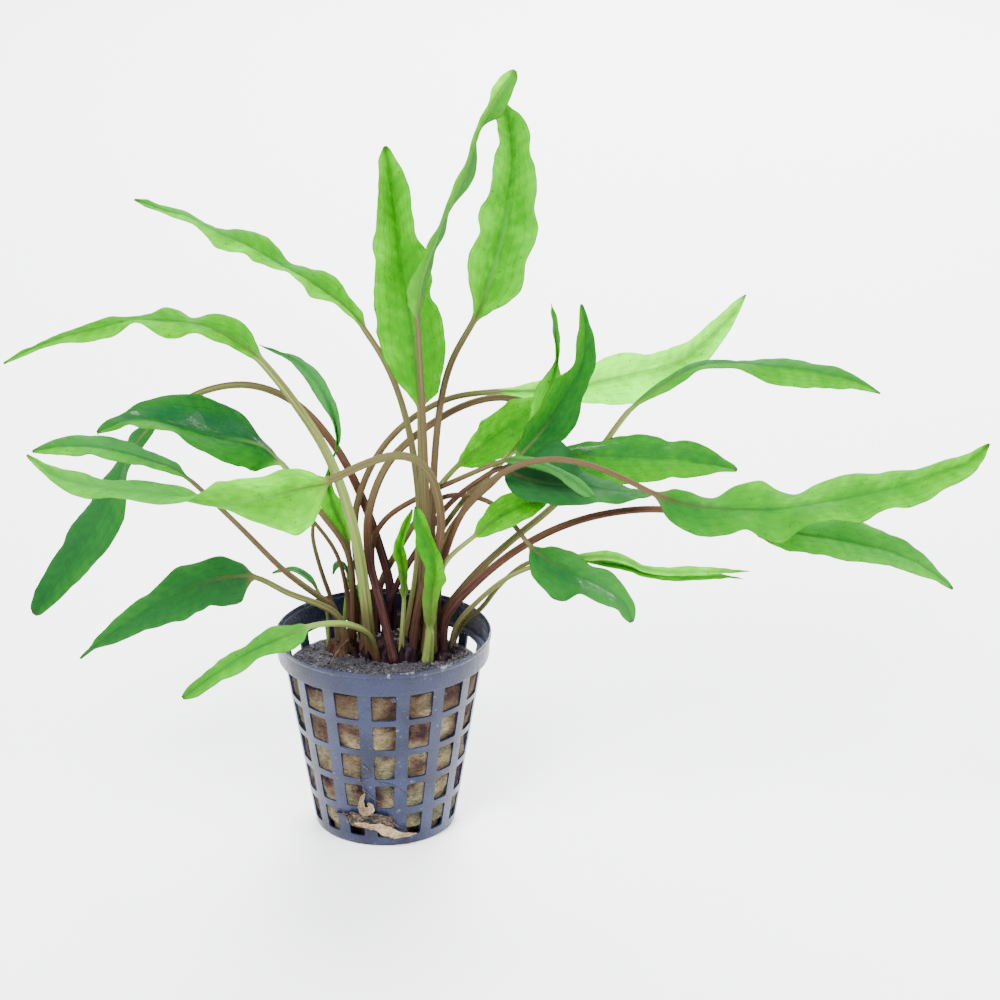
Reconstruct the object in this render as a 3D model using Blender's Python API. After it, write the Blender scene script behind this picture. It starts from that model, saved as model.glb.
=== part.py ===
"""Potted cryptocoryne: a rosette of stalked leaves growing out of a plug of mineral wool in a net pot.

Metres, +Z up. The origin is the middle of the pot's underside, which stands on z = 0, and the
plant is seen from the front along +Y. Lengths in the tables are millimetres.
"""
import math

import bmesh
import bpy
from mathutils import Matrix, Vector

MM = 0.001
GAP = 0.3

# The net pot
POT_HEIGHT = 52.0
RIM_RADIUS = 27.3
RIM_FOOT = 45.5
WALL_TOP_RADIUS = 25.2
BASE_RADIUS = 17.9
WALL = 1.0
COLUMNS = 16
RIB_WIDTH = 3.3
WINDOW_ROWS = 5
WINDOW_HEIGHT = 6.6
WINDOW_PITCH = 8.7
LOWEST_WINDOW = 2.8
BASE_DISC_RADIUS = 6.5
BASE_SLOT_RADIUS = 14.0

# What the pot holds
PLUG_FOOT = 1.5
PLUG_TOP = 40.6
SOIL_EDGE = 42.3
SOIL_CROWN = 43.1
SOIL_SLOPE = -0.09
SIDE_CLEARANCE = 0.6
FOOT_OF_STALKS = 46.4

# The leaves' routes are laid out in the picture plane of someone who looks down on the plant a
# little from the front: across and up in that plane, and how far behind the pot's axis.
VIEW_TILT = math.radians(21.6)
EYE = Vector((29.5, -836.8, 418.7))
MIDDLE_ACROSS = 29.46
MIDDLE_UP = 86.5
PLANE_DISTANCE = 913.0

# A leaf's skin is a row of rings, set closer together where the leaf bends
STALK_RINGS = 7
BLADE_RINGS = 9
YOUNG_STALK_RINGS = 4
YOUNG_BLADE_RINGS = 6
SIDES = 6
BLADE_THICKNESS = 0.9
FLATTENING = 0.17
BEND_PULL = 1.3
SAMPLES = 60

RIGHT = Vector((1.0, 0.0, 0.0))
UPWARD = Vector((0.0, math.sin(VIEW_TILT), math.cos(VIEW_TILT)))
AWAY = Vector((0.0, math.cos(VIEW_TILT), -math.sin(VIEW_TILT)))


# Each leaf: its stalk's and its blade's points (across, up, behind), which way the blade's upper
# face looks from foot to tip (right, up, towards the viewer), the blade's width, where it is widest
# (0 at its foot, 1 at its tip), how deeply it is troughed, its edge's waves (height, number, start),
# and the stalk's diameter at its foot and at the blade.
LEAVES = {
    "leaf_top_broad": dict(
        stalk=[(8.4, 48.0, 7.6), (9.5, 62.0, 6.2), (9.9, 80.0, 5.5), (9.4, 98.0, 5.5),
               (9.2, 109.5, 5.0)],
        blade=[(8.4, 120.0, 4.5), (7.2, 132.0, 4.5), (4.6, 147.0, 5.0), (2.4, 161.0, 7.0),
               (0.4, 176.2, 10.0)],
        faces=[(-0.1, 0.2, 1.0), (-0.2, 0.1, 1.0), (0.1, -0.1, 1.0)],
        width=18.0, widest=0.34, trough=0.16, waves=(0.7, 3.0, 0.1), stem=(2.2, 1.5)),
    "leaf_top_twisted": dict(
        stalk=[(10.2, 46.8, 4.2), (10.6, 60.0, 3.0), (10.9, 78.0, 1.4), (10.4, 98.0, -0.5),
               (9.4, 118.0, -3.0), (8.6, 133.0, -5.0)],
        blade=[(9.3, 140.0, -6.0), (11.8, 148.5, -7.0), (16.3, 161.0, -8.0), (20.8, 171.5, -8.0),
               (24.4, 180.5, -8.0), (28.2, 187.5, -8.0), (33.3, 195.4, -6.0)],
        faces=[(0.2, 0.1, 1.0), (-0.7, 0.4, 0.7), (-0.9, 0.45, 0.15), (-0.9, 0.45, 0.2),
               (-0.8, 0.3, -0.2), (-0.2, 0.1, -1.0)],
        width=9.0, widest=0.45, trough=0.12, waves=(0.5, 3.0, 0.3), stem=(2.2, 1.4)),
    "leaf_top_right": dict(
        stalk=[(10.4, 49.4, 10.6), (11.7, 66.0, 8.2), (12.3, 82.0, 6.0), (13.0, 98.0, 6.5),
               (14.6, 112.0, 9.0), (17.4, 122.0, 12.0), (22.8, 133.4, 16.0)],
        blade=[(26.6, 141.0, 18.0), (29.8, 150.5, 19.0), (32.4, 162.0, 19.0), (33.4, 174.0, 17.0),
               (31.8, 183.0, 13.0), (29.4, 187.0, 8.0)],
        faces=[(0.1, -0.1, 1.0), (0.0, 0.0, 1.0), (0.0, 0.3, 1.0), (0.0, 0.9, 0.5)],
        width=17.0, widest=0.32, trough=0.14, waves=(0.9, 3.5, 0.4), stem=(2.2, 1.6)),
    "leaf_left_high": dict(
        stalk=[(5.0, 47.8, 7.2), (8.2, 66.0, 8.4), (9.2, 82.0, 9.0), (7.6, 98.0, 10.0),
               (4.6, 111.0, 12.6), (0.6, 121.0, 16.6), (-4.6, 129.3, 21.0)],
        blade=[(-13.0, 137.4, 26.0), (-20.6, 142.8, 30.0), (-30.0, 148.6, 34.0), (-40.0, 153.2, 37.0),
               (-51.0, 158.4, 40.0), (-62.8, 162.4, 42.0)],
        faces=[(0.7, 0.6, 0.5), (0.4, 0.7, 0.6), (0.3, 0.8, 0.5), (0.2, 0.8, 0.5)],
        width=12.6, widest=0.34, trough=0.12, waves=(1.4, 3.4, 0.1), stem=(2.2, 1.5)),
    "leaf_left_long": dict(
        stalk=[(-2.8, 46.8, 4.2), (-4.4, 60.0, 2.0), (-7.2, 78.0, -0.5), (-13.4, 96.5, -3.0),
               (-22.0, 110.5, -5.0), (-30.6, 121.3, -6.0)],
        blade=[(-38.0, 127.8, -7.0), (-46.0, 130.6, -8.0), (-54.0, 131.6, -9.0), (-63.0, 131.6, -10.0),
               (-73.0, 129.6, -11.0), (-85.0, 126.2, -12.0), (-96.3, 121.0, -12.0)],
        faces=[(0.3, 0.5, 0.9), (0.2, 0.8, 0.6), (0.0, 1.0, 0.3), (0.0, 0.9, 0.5), (-0.1, 0.9, 0.3)],
        width=12.0, widest=0.2, trough=0.1, waves=(1.3, 3.6, 0.2), stem=(3.2, 2.0)),
    "leaf_left_hanging": dict(
        stalk=[(-4.8, 49.0, 10.8), (-6.4, 58.0, 10.4), (-7.8, 66.0, 9.0), (-8.8, 74.0, 7.0)],
        blade=[(-10.2, 79.5, 6.0), (-13.4, 87.0, 4.8), (-13.4, 94.0, 4.0), (-11.8, 101.0, 4.0),
               (-12.8, 108.0, 4.6), (-16.4, 115.5, 6.0), (-22.0, 121.6, 7.0), (-31.7, 125.8, 8.0)],
        faces=[(0.9, 0.2, 0.4), (0.6, -0.2, 0.8), (0.9, -0.1, -0.2), (-0.5, -0.4, -0.7),
               (-0.6, -0.6, -0.5)],
        width=5.4, widest=0.5, trough=0.15, waves=(0.5, 3.0, 0.6), stem=(1.7, 1.2)),
    "leaf_left_drooping": dict(
        stalk=[(2.6, 48.8, 10.2), (1.8, 64.0, 10.6), (-1.4, 76.0, 11.2), (-5.8, 88.0, 12.6),
               (-12.0, 99.8, 14.4), (-21.6, 110.6, 15.6), (-33.6, 115.6, 16.0), (-46.0, 113.9, 16.0),
               (-56.0, 107.6, 14.0)],
        blade=[(-61.4, 102.0, 13.0), (-66.2, 94.4, 12.0), (-70.4, 87.0, 11.0), (-76.6, 76.0, 9.0),
               (-83.6, 65.0, 7.0), (-88.6, 57.0, 6.0)],
        faces=[(-0.5, 0.2, 0.8), (-0.4, 0.1, 0.9), (-0.5, 0.1, 0.9)],
        width=13.4, widest=0.46, trough=0.12, waves=(0.4, 2.5, 0.2), stem=(2.6, 1.6)),
    "leaf_left_glossy": dict(
        stalk=[(-7.8, 48.2, 8.6), (-7.6, 60.0, 7.4), (-9.0, 73.4, 5.0), (-15.6, 83.0, 2.6),
               (-22.2, 91.6, 1.0), (-29.2, 100.4, -1.0)],
        blade=[(-36.0, 103.6, -2.6), (-45.0, 106.0, -5.0), (-55.0, 107.8, -7.6), (-64.5, 107.4, -10.0),
               (-72.6, 103.3, -12.0)],
        faces=[(0.2, 0.8, 0.8), (0.1, 0.7, 0.8), (-0.2, 0.7, 0.8)],
        width=15.5, widest=0.36, trough=0.1, waves=(0.6, 2.0, 0.5), stem=(1.9, 1.4)),
    "leaf_left_turned": dict(
        stalk=[(7.2, 46.3, 3.0), (9.0, 60.0, 0.2), (12.2, 70.0, -1.2), (14.6, 80.0, -4.0),
               (12.9, 90.6, -8.4), (8.6, 96.4, -12.0), (2.6, 97.7, -16.0), (-5.0, 95.5, -20.0),
               (-14.2, 91.2, -24.0)],
        blade=[(-23.0, 88.8, -27.0), (-32.0, 87.0, -29.0), (-42.0, 86.2, -31.0), (-52.0, 87.4, -32.0),
               (-64.0, 89.0, -33.0), (-77.0, 91.6, -34.0), (-90.4, 98.0, -34.0)],
        faces=[(-0.2, -0.1, -1.0), (-0.2, 0.1, -1.0), (-0.1, 0.9, -0.4), (-0.1, 0.9, 0.4),
               (0.1, 0.9, 0.4)],
        width=15.5, widest=0.22, trough=0.1, waves=(0.7, 2.5, 0.0), stem=(2.4, 2.0)),
    "leaf_left_slim": dict(
        stalk=[(-11.0, 48.6, 9.6), (-12.0, 58.4, 8.0), (-15.6, 61.6, 5.6), (-20.4, 65.0, 1.0),
               (-26.4, 69.8, -5.0), (-37.0, 80.4, -13.0), (-46.0, 89.3, -16.0), (-50.2, 92.8, -17.0)],
        blade=[(-57.0, 96.6, -18.0), (-66.0, 99.6, -19.0), (-77.0, 100.8, -20.0), (-89.0, 98.8, -20.0)],
        faces=[(0.4, 0.7, 0.7), (0.1, 0.8, 0.6), (-0.1, 0.8, 0.6)],
        width=6.6, widest=0.42, trough=0.12, waves=(0.3, 2.0, 0.2), stem=(1.9, 1.2)),
    "leaf_left_low": dict(
        stalk=[(-9.0, 47.0, 5.4), (-11.0, 56.4, 3.4), (-16.0, 60.0, 1.5), (-24.0, 62.9, -1.0),
               (-32.4, 67.0, -2.0)],
        blade=[(-40.0, 66.8, -3.0), (-48.0, 64.6, -4.0), (-57.0, 59.8, -5.0), (-67.0, 53.6, -6.0),
               (-76.9, 46.3, -7.0)],
        faces=[(0.0, 0.7, 0.8), (-0.1, 0.6, 0.9), (-0.2, 0.6, 0.9)],
        width=13.8, widest=0.24, trough=0.08, waves=(0.5, 2.5, 0.4), stem=(2.0, 1.4)),
    "leaf_front_left": dict(
        stalk=[(-1.5, 45.3, 0.8), (-3.2, 51.8, -3.6), (-7.4, 54.6, -9.0), (-12.6, 55.3, -14.6),
               (-18.8, 54.5, -20.0)],
        blade=[(-25.0, 52.0, -24.0), (-32.0, 48.8, -27.0), (-39.0, 44.8, -30.0), (-51.0, 36.3, -34.0)],
        faces=[(0.0, 0.6, 0.9), (-0.2, 0.5, 0.9), (-0.3, 0.5, 0.9)],
        width=8.6, widest=0.35, trough=0.14, waves=(0.4, 2.0, 0.0), stem=(2.0, 1.4)),
    "leaf_right_pale": dict(
        stalk=[(-5.2, 47.7, 7.4), (-4.8, 60.0, 7.6), (-7.2, 74.6, 8.2), (-6.6, 86.0, 9.6),
               (-1.6, 97.8, 13.0), (6.2, 106.4, 17.0), (16.6, 112.2, 22.0), (29.0, 114.6, 27.0)],
        blade=[(43.0, 115.4, 32.0), (58.0, 117.0, 36.0), (71.0, 119.8, 39.0), (81.0, 124.6, 41.0),
               (92.2, 138.2, 43.0)],
        faces=[(-0.1, -0.3, -0.9), (0.0, -0.2, -1.0), (0.2, -0.2, -1.0)],
        width=15.0, widest=0.44, trough=0.12, waves=(0.5, 2.5, 0.0), stem=(2.0, 1.5)),
    "leaf_right_wet": dict(
        stalk=[(1.6, 46.6, 3.8), (-0.6, 60.0, 3.4), (-3.6, 71.5, 4.4), (-3.8, 83.0, 6.2),
               (0.6, 95.0, 10.4), (8.6, 103.2, 14.8), (20.0, 110.3, 18.6), (31.0, 112.4, 21.4),
               (41.0, 108.4, 21.0), (46.5, 101.0, 15.6)],
        blade=[(55.0, 98.2, 10.0), (66.0, 97.4, 7.0), (78.0, 96.6, 5.0), (89.6, 94.6, 4.0)],
        faces=[(0.1, 0.8, 0.7), (0.0, 0.7, 0.8), (0.1, 0.7, 0.8)],
        width=13.4, widest=0.36, trough=0.1, waves=(0.4, 2.0, 0.2), stem=(2.4, 1.5)),
    "leaf_right_bright": dict(
        stalk=[(-1.8, 49.4, 13.4), (-1.2, 64.0, 14.0), (5.6, 77.0, 15.4), (13.4, 89.0, 16.0),
               (18.8, 95.2, 15.6)],
        blade=[(25.6, 101.6, 15.4), (33.0, 106.4, 15.4), (43.0, 110.0, 15.6), (55.4, 110.4, 16.0)],
        faces=[(-0.3, 0.4, 0.9), (-0.1, 0.5, 0.9), (0.0, 0.7, 0.7)],
        width=12.0, widest=0.36, trough=0.12, waves=(0.4, 2.0, 0.5), stem=(2.0, 1.4)),
    "leaf_right_upright": dict(
        stalk=[(8.0, 49.4, 13.6), (10.4, 62.0, 12.5), (15.4, 76.5, 8.5), (21.8, 85.4, 6.8),
               (28.0, 91.2, 6.0), (33.0, 94.8, 5.6)],
        blade=[(37.0, 100.0, 5.4), (42.0, 107.0, 5.6), (47.2, 115.6, 6.0), (50.6, 124.4, 7.0),
               (50.0, 136.0, 9.0)],
        faces=[(0.4, -0.2, 0.9), (0.3, -0.1, 0.9), (0.2, 0.0, 1.0)],
        width=9.8, widest=0.4, trough=0.14, waves=(0.5, 2.5, 0.2), stem=(1.8, 1.4)),
    "leaf_right_pointed": dict(
        stalk=[(5.0, 49.2, 13.2), (7.4, 62.0, 14.0), (13.0, 76.0, 11.6), (20.0, 86.2, 9.8),
               (24.8, 91.0, 9.4), (30.2, 97.2, 9.0)],
        blade=[(34.0, 102.2, 9.2), (38.0, 108.4, 9.6), (41.4, 114.6, 10.0), (43.8, 121.0, 10.4),
               (44.0, 127.0, 11.0), (42.2, 136.4, 12.0)],
        faces=[(-0.4, 0.1, 0.9), (-0.3, 0.2, 0.9), (0.6, 0.1, 0.7), (0.8, 0.1, 0.5)],
        width=8.6, widest=0.34, trough=0.14, waves=(0.3, 2.5, 0.1), stem=(1.7, 1.3)),
    "leaf_right_wavy": dict(
        stalk=[(13.2, 48.6, 10.6), (14.0, 66.0, 6.0), (18.4, 80.6, -1.6), (25.0, 89.4, -8.6),
               (33.2, 94.9, -15.0), (42.6, 96.8, -20.0), (52.0, 95.4, -23.0), (60.6, 92.0, -25.0),
               (68.2, 88.2, -27.0)],
        blade=[(79.0, 85.2, -28.0), (92.0, 83.9, -30.0), (105.0, 84.4, -32.0), (119.0, 86.4, -34.0),
               (137.0, 91.4, -37.0), (153.3, 100.4, -40.0)],
        faces=[(0.1, 0.7, 0.7), (0.0, 0.7, 0.8), (-0.2, 0.7, 0.8)],
        width=15.0, widest=0.3, trough=0.08, waves=(1.5, 3.6, 0.2), stem=(2.2, 1.6)),
    "leaf_right_far": dict(
        stalk=[(12.6, 47.0, 6.2), (13.8, 55.6, 5.2), (22.0, 66.6, 5.0), (32.0, 76.0, 5.4),
               (43.6, 85.6, 9.0), (52.6, 96.4, 15.0), (61.0, 108.0, 19.0), (70.4, 116.8, 22.0)],
        blade=[(77.4, 120.0, 23.6), (85.0, 121.2, 25.0), (94.0, 120.2, 26.0), (105.0, 119.0, 27.0),
               (116.0, 117.6, 28.0), (125.8, 113.4, 29.0)],
        faces=[(-0.3, 0.9, 0.2), (0.0, 1.0, 0.15), (0.0, 0.7, 0.7), (0.1, 0.7, 0.7)],
        width=8.0, widest=0.58, trough=0.12, waves=(0.4, 2.5, 0.3), stem=(2.2, 1.5)),
    "leaf_right_low": dict(
        stalk=[(15.0, 46.6, 4.4), (16.0, 57.0, 3.0), (23.6, 65.8, 0.6), (33.0, 73.4, -1.8),
               (44.0, 79.4, -6.0), (56.0, 83.0, -11.0), (69.0, 84.2, -15.0), (82.0, 82.6, -17.4),
               (92.0, 80.4, -19.0)],
        blade=[(104.0, 78.8, -20.0), (117.0, 77.2, -21.6), (129.0, 74.0, -23.6), (137.6, 69.6, -25.4),
               (144.2, 64.0, -27.0)],
        faces=[(0.1, 0.6, 0.8), (0.1, 0.6, 0.8), (0.3, 0.6, 0.8)],
        width=11.4, widest=0.4, trough=0.1, waves=(0.5, 2.0, 0.1), stem=(2.2, 1.6)),
    "leaf_right_dark": dict(
        stalk=[(-0.4, 47.0, 6.8), (1.0, 58.4, 7.4), (4.0, 66.4, 8.6), (9.4, 75.4, 12.4),
               (12.6, 80.2, 10.2), (15.6, 84.4, 5.4), (19.6, 88.2, 1.0), (24.6, 91.8, -3.4),
               (29.8, 94.8, -6.6)],
        blade=[(36.0, 93.0, -8.6), (44.0, 90.4, -10.6), (53.0, 89.0, -12.6), (67.4, 87.9, -15.0)],
        faces=[(0.1, 0.6, 0.8), (0.1, 0.5, 0.9), (0.1, 0.5, 0.9)],
        width=13.0, widest=0.36, trough=0.1, waves=(0.4, 2.0, 0.3), stem=(1.9, 1.3)),
    "leaf_right_curled": dict(
        stalk=[(-1.2, 48.2, 10.0), (-2.0, 62.0, 9.2), (-3.0, 74.5, 8.2), (0.6, 81.8, 10.2),
               (8.6, 87.0, 13.0), (19.0, 91.8, 3.6), (30.2, 96.4, -9.6)],
        blade=[(36.0, 96.4, -12.0), (42.4, 94.4, -14.0), (48.4, 91.0, -16.0), (53.8, 86.9, -17.6)],
        faces=[(0.2, 0.8, 0.6), (0.2, 0.8, 0.6), (0.4, 0.7, 0.6)],
        width=4.6, widest=0.42, trough=0.3, waves=(0.2, 2.0, 0.1), stem=(1.7, 1.2)),
    "leaf_right_under": dict(
        stalk=[(12.9, 45.9, 2.9), (12.8, 58.0, 2.2), (15.0, 69.8, -0.4), (22.8, 77.2, -4.0)],
        blade=[(28.0, 81.2, -5.0), (34.0, 84.6, -5.0), (46.0, 90.0, -4.0)],
        faces=[(-0.2, 0.6, 0.8), (-0.2, 0.5, 0.9), (-0.1, 0.6, 0.8)],
        width=9.4, widest=0.42, trough=0.12, waves=(0.3, 2.0, 0.3), stem=(1.6, 1.2)),
    "leaf_right_front": dict(
        stalk=[(11.2, 50.3, 14.0), (10.0, 66.0, 17.0), (9.4, 78.0, 18.0), (13.0, 86.0, 14.0),
               (19.6, 87.8, 5.6), (27.6, 85.6, 1.0), (33.2, 79.9, -3.4), (37.0, 75.0, -8.0)],
        blade=[(42.0, 71.0, -12.0), (48.6, 67.4, -16.0), (55.0, 64.4, -20.0), (60.4, 60.8, -23.0),
               (62.9, 55.4, -26.0)],
        faces=[(0.4, 0.5, 0.9), (0.3, 0.5, 0.9), (0.4, 0.3, 0.9)],
        width=15.4, widest=0.32, trough=0.1, waves=(0.8, 2.5, 0.2), stem=(1.7, 1.2)),
    "leaf_right_folded": dict(
        stalk=[(16.8, 47.5, 6.6), (18.6, 55.0, 4.0), (24.4, 61.4, 1.4), (30.6, 66.4, -1.0),
               (37.0, 69.4, -3.0), (45.0, 71.6, -4.6)],
        blade=[(51.5, 72.8, -6.0), (58.0, 73.0, -7.4), (65.0, 70.4, -9.0), (78.0, 69.4, -11.0),
               (92.8, 68.7, -13.0)],
        faces=[(-0.1, 1.0, 0.3), (0.3, 0.9, 0.3), (0.0, 1.0, 0.3)],
        width=4.2, widest=0.3, trough=0.3, waves=(0.2, 2.0, 0.1), stem=(1.5, 1.1)),
    "leaf_right_narrow": dict(
        stalk=[(17.0, 48.9, 10.2), (19.4, 54.4, 9.6), (24.8, 59.2, 7.6), (29.6, 65.2, 5.0),
               (36.4, 70.6, 2.4), (46.0, 72.0, 0.4)],
        blade=[(55.0, 71.4, -1.0), (65.0, 68.6, -2.6), (78.0, 67.2, -4.4), (91.4, 66.4, -6.4)],
        faces=[(0.0, 0.8, 0.6), (0.1, 0.8, 0.6), (0.0, 0.8, 0.6)],
        width=4.2, widest=0.4, trough=0.3, waves=(0.2, 2.0, 0.4), stem=(1.4, 1.1)),
    "young_leaf_front": dict(
        stalk=[(12.4, 45.2, 0.2), (12.2, 54.0, -1.6), (12.8, 64.0, -3.8)],
        blade=[(13.0, 69.0, -4.8), (12.4, 74.0, -5.8), (10.2, 79.6, -6.6), (8.0, 84.9, -7.2)],
        faces=[(0.5, 0.1, 0.8), (0.4, 0.1, 0.9), (0.5, 0.3, 0.8)],
        width=6.0, widest=0.34, trough=0.3, waves=(0.3, 2.0, 0.2), stem=(2.8, 2.2)),
    "young_leaf_middle": dict(
        stalk=[(4.8, 45.5, 1.0), (5.2, 60.0, 0.0), (4.6, 70.0, -0.8)],
        blade=[(4.2, 74.0, -1.2), (5.0, 78.6, -1.6), (7.2, 84.2, -2.0)],
        faces=[(-0.4, 0.1, 0.9), (-0.4, 0.1, 0.9), (-0.3, 0.2, 0.9)],
        width=4.6, widest=0.4, trough=0.3, waves=(0.2, 1.5, 0.2), stem=(2.2, 1.5)),
    "young_leaf_hidden_high": dict(
        stalk=[(-8.4, 49.5, 12.2), (-8.8, 60.0, 12.0), (-11.6, 72.6, 8.4), (-19.0, 82.6, 2.6)],
        blade=[(-24.0, 86.8, -3.0), (-29.6, 88.8, -6.0), (-36.0, 88.6, -9.0)],
        faces=[(0.0, 0.7, 0.7), (0.0, 0.8, 0.6), (-0.1, 0.8, 0.6)],
        width=5.0, widest=0.4, trough=0.2, waves=(0.2, 1.5, 0.2), stem=(1.5, 1.0)),
    "young_leaf_hidden_low": dict(
        stalk=[(-11.2, 49.8, 13.0), (-12.8, 60.0, 13.0), (-15.6, 68.2, 12.0), (-17.9, 77.0, 10.4),
               (-17.6, 83.0, 8.4)],
        blade=[(-20.6, 86.8, 7.4), (-26.0, 88.2, 6.0), (-32.0, 88.0, 4.0)],
        faces=[(0.1, 0.8, 0.6), (0.0, 0.8, 0.6), (-0.1, 0.8, 0.6)],
        width=5.0, widest=0.4, trough=0.2, waves=(0.2, 1.5, 0.5), stem=(1.4, 1.0)),
    "young_leaf_left_bluish": dict(
        stalk=[(-13.8, 49.1, 11.2), (-14.2, 58.0, 10.0), (-16.6, 63.6, 8.4)],
        blade=[(-19.4, 67.0, 7.4), (-23.6, 68.8, 6.4), (-28.3, 68.0, 5.4)],
        faces=[(0.3, 0.7, 0.7), (0.0, 0.8, 0.6), (-0.1, 0.8, 0.6)],
        width=2.8, widest=0.4, trough=0.3, waves=(0.1, 1.5, 0.2), stem=(1.0, 0.8)),
    "young_leaf_left_curled": dict(
        stalk=[(-10.2, 50.7, 15.6), (-9.6, 60.0, 15.4), (-8.8, 65.6, 14.4)],
        blade=[(-9.4, 68.8, 13.4), (-11.4, 70.0, 12.4), (-12.9, 67.6, 11.4)],
        faces=[(0.7, 0.5, 0.5), (0.0, 0.8, 0.6), (-0.7, 0.4, 0.6)],
        width=2.8, widest=0.5, trough=0.3, waves=(0.1, 1.5, 0.2), stem=(1.1, 0.9)),
    "young_leaf_left_bright": dict(
        stalk=[(-5.4, 50.3, 15.4), (-7.0, 58.0, 15.8)],
        blade=[(-6.8, 62.4, 15.6), (-5.6, 65.0, 15.4), (-6.1, 68.4, 15.0)],
        faces=[(-0.5, 0.1, 0.8), (-0.5, 0.1, 0.8), (-0.3, 0.2, 0.9)],
        width=2.8, widest=0.4, trough=0.3, waves=(0.1, 1.5, 0.2), stem=(1.2, 1.0)),
}

# The crowns, low knots of sheathed leaf bases: middle, half sizes across and front to back
CROWNS = {
    "crown_main": ((2.6, 6.8), (8.0, 7.6)),
    "crown_left": ((-10.4, 9.8), (4.6, 6.6)),
    "crown_right": ((14.4, 6.8), (3.4, 6.6)),
}
CROWN_HEIGHT = 2.3

# The dead leaf stuck to the foot of the pot: across from the pot's front, up, and its size
DEAD_LEAF_POINTS = [(-6.6, 12.2), (-3.4, 9.6), (0.2, 7.6), (4.2, 5.0), (8.0, 2.2)]
DEAD_LEAF_WIDTH = 5.6
DEAD_LEAF_THICKNESS = 0.7


def clear_scene():
    for thing in list(bpy.data.objects):
        bpy.data.objects.remove(thing, do_unlink=True)


def material(name, colour, roughness, metallic=0.0):
    made = bpy.data.materials.new(name)
    made.use_nodes = True
    shader = made.node_tree.nodes["Principled BSDF"]
    shader.inputs["Base Color"].default_value = (*colour, 1.0)
    shader.inputs["Roughness"].default_value = roughness
    shader.inputs["Metallic"].default_value = metallic
    return made


def node_from(bm, name, finish):
    """Turn a bmesh in millimetres into a named object in metres, shaded smooth."""
    bmesh.ops.scale(bm, vec=(MM, MM, MM), verts=bm.verts)
    bmesh.ops.recalc_face_normals(bm, faces=bm.faces)
    mesh = bpy.data.meshes.new(name)
    bm.to_mesh(mesh)
    bm.free()
    mesh.shade_smooth()
    mesh.materials.append(finish)
    thing = bpy.data.objects.new(name, mesh)
    bpy.context.collection.objects.link(thing)
    return thing


def in_space(across, up, behind):
    """The point that is seen at (across, up) in the picture plane and lies behind mm past the axis."""
    sight = AWAY + RIGHT * ((across - MIDDLE_ACROSS) / PLANE_DISTANCE)
    sight = sight + UPWARD * ((up - MIDDLE_UP) / PLANE_DISTANCE)
    return EYE + sight * ((behind - EYE.y) / sight.y)


def facing(right, up, towards):
    return (RIGHT * right + UPWARD * up - AWAY * towards).normalized()


def smooth_route(points, steps=12, rounds=6):
    """A soft curve through the points: a Catmull-Rom spline, then a few rounds of evening out."""
    ends = [points[0] * 2.0 - points[1], *points, points[-1] * 2.0 - points[-2]]
    line = []
    for before, start, stop, after in zip(ends, ends[1:], ends[2:], ends[3:]):
        for step in range(steps):
            t = step / steps
            line.append(0.5 * (2.0 * start + (stop - before) * t
                               + (2.0 * before - 5.0 * start + 4.0 * stop - after) * t ** 2
                               + (3.0 * start - before - 3.0 * stop + after) * t ** 3))
    line.append(points[-1])
    for _ in range(rounds):
        inner = [(a + b * 2.0 + c) / 4.0 for a, b, c in zip(line, line[1:], line[2:])]
        line = [line[0], *inner, line[-1]]
    return line


class Route:
    """A leaf's midrib from foot to tip, asked by distance along it."""

    def __init__(self, leaf):
        stalk = [in_space(*point) for point in leaf["stalk"]]
        blade = [in_space(*point) for point in leaf["blade"]]
        self.line = smooth_route(stalk + blade)
        self.marks = [0.0]
        for a, b in zip(self.line, self.line[1:]):
            self.marks.append(self.marks[-1] + (b - a).length)
        self.length = self.marks[-1]
        join = stalk[-1]
        self.blade_start = min(zip(self.line, self.marks), key=lambda pair: (pair[0] - join).length)[1]
        self.faces = [facing(*face) for face in leaf["faces"]]

    def point(self, distance):
        distance = min(max(distance, 0.0), self.length)
        for i in range(len(self.line) - 1):
            if self.marks[i + 1] >= distance:
                share = (distance - self.marks[i]) / (self.marks[i + 1] - self.marks[i])
                return self.line[i].lerp(self.line[i + 1], share)
        return self.line[-1].copy()

    def foot(self, height):
        """The distance at which the route first rises above the crowns, which lean with the soil."""
        distance = 0.0
        while self.point(distance).z < height + SOIL_SLOPE * self.point(distance).y:
            distance += 0.1
        return distance

    def spread(self, start, stop, count):
        """Distances from start to stop, closer together where the route bends."""
        samples = [start + (stop - start) * i / SAMPLES for i in range(SAMPLES + 1)]
        ways = [self.point(b) - self.point(a) for a, b in zip(samples, samples[1:])]
        bends = [0.0] + [a.angle(b) for a, b in zip(ways, ways[1:])]
        total = sum(bends) + 0.3
        marks = [0.0]
        for bend in bends:
            marks.append(marks[-1] + 1.0 / SAMPLES + BEND_PULL * bend / total)
        spots = []
        for i in range(count + 1):
            goal = marks[-1] * i / count
            k = next(k for k in range(SAMPLES) if marks[k + 1] >= goal - 1e-6)
            share = (goal - marks[k]) / (marks[k + 1] - marks[k])
            spots.append(samples[k] + (samples[k + 1] - samples[k]) * share)
        return spots

    def frame(self, distance):
        """Place, direction to the leaf's left edge, and direction of its upper face."""
        reach = 0.01 * self.length
        along = (self.point(distance + reach) - self.point(distance - reach)).normalized()
        share = (distance - self.blade_start) / (self.length - self.blade_start)
        share = min(max(share, 0.0), 1.0) * (len(self.faces) - 1)
        first = min(int(share), len(self.faces) - 2)
        face = self.faces[first].lerp(self.faces[first + 1], share - first)
        side = along.cross(face).normalized()
        return self.point(distance), side, side.cross(along).normalized()


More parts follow.
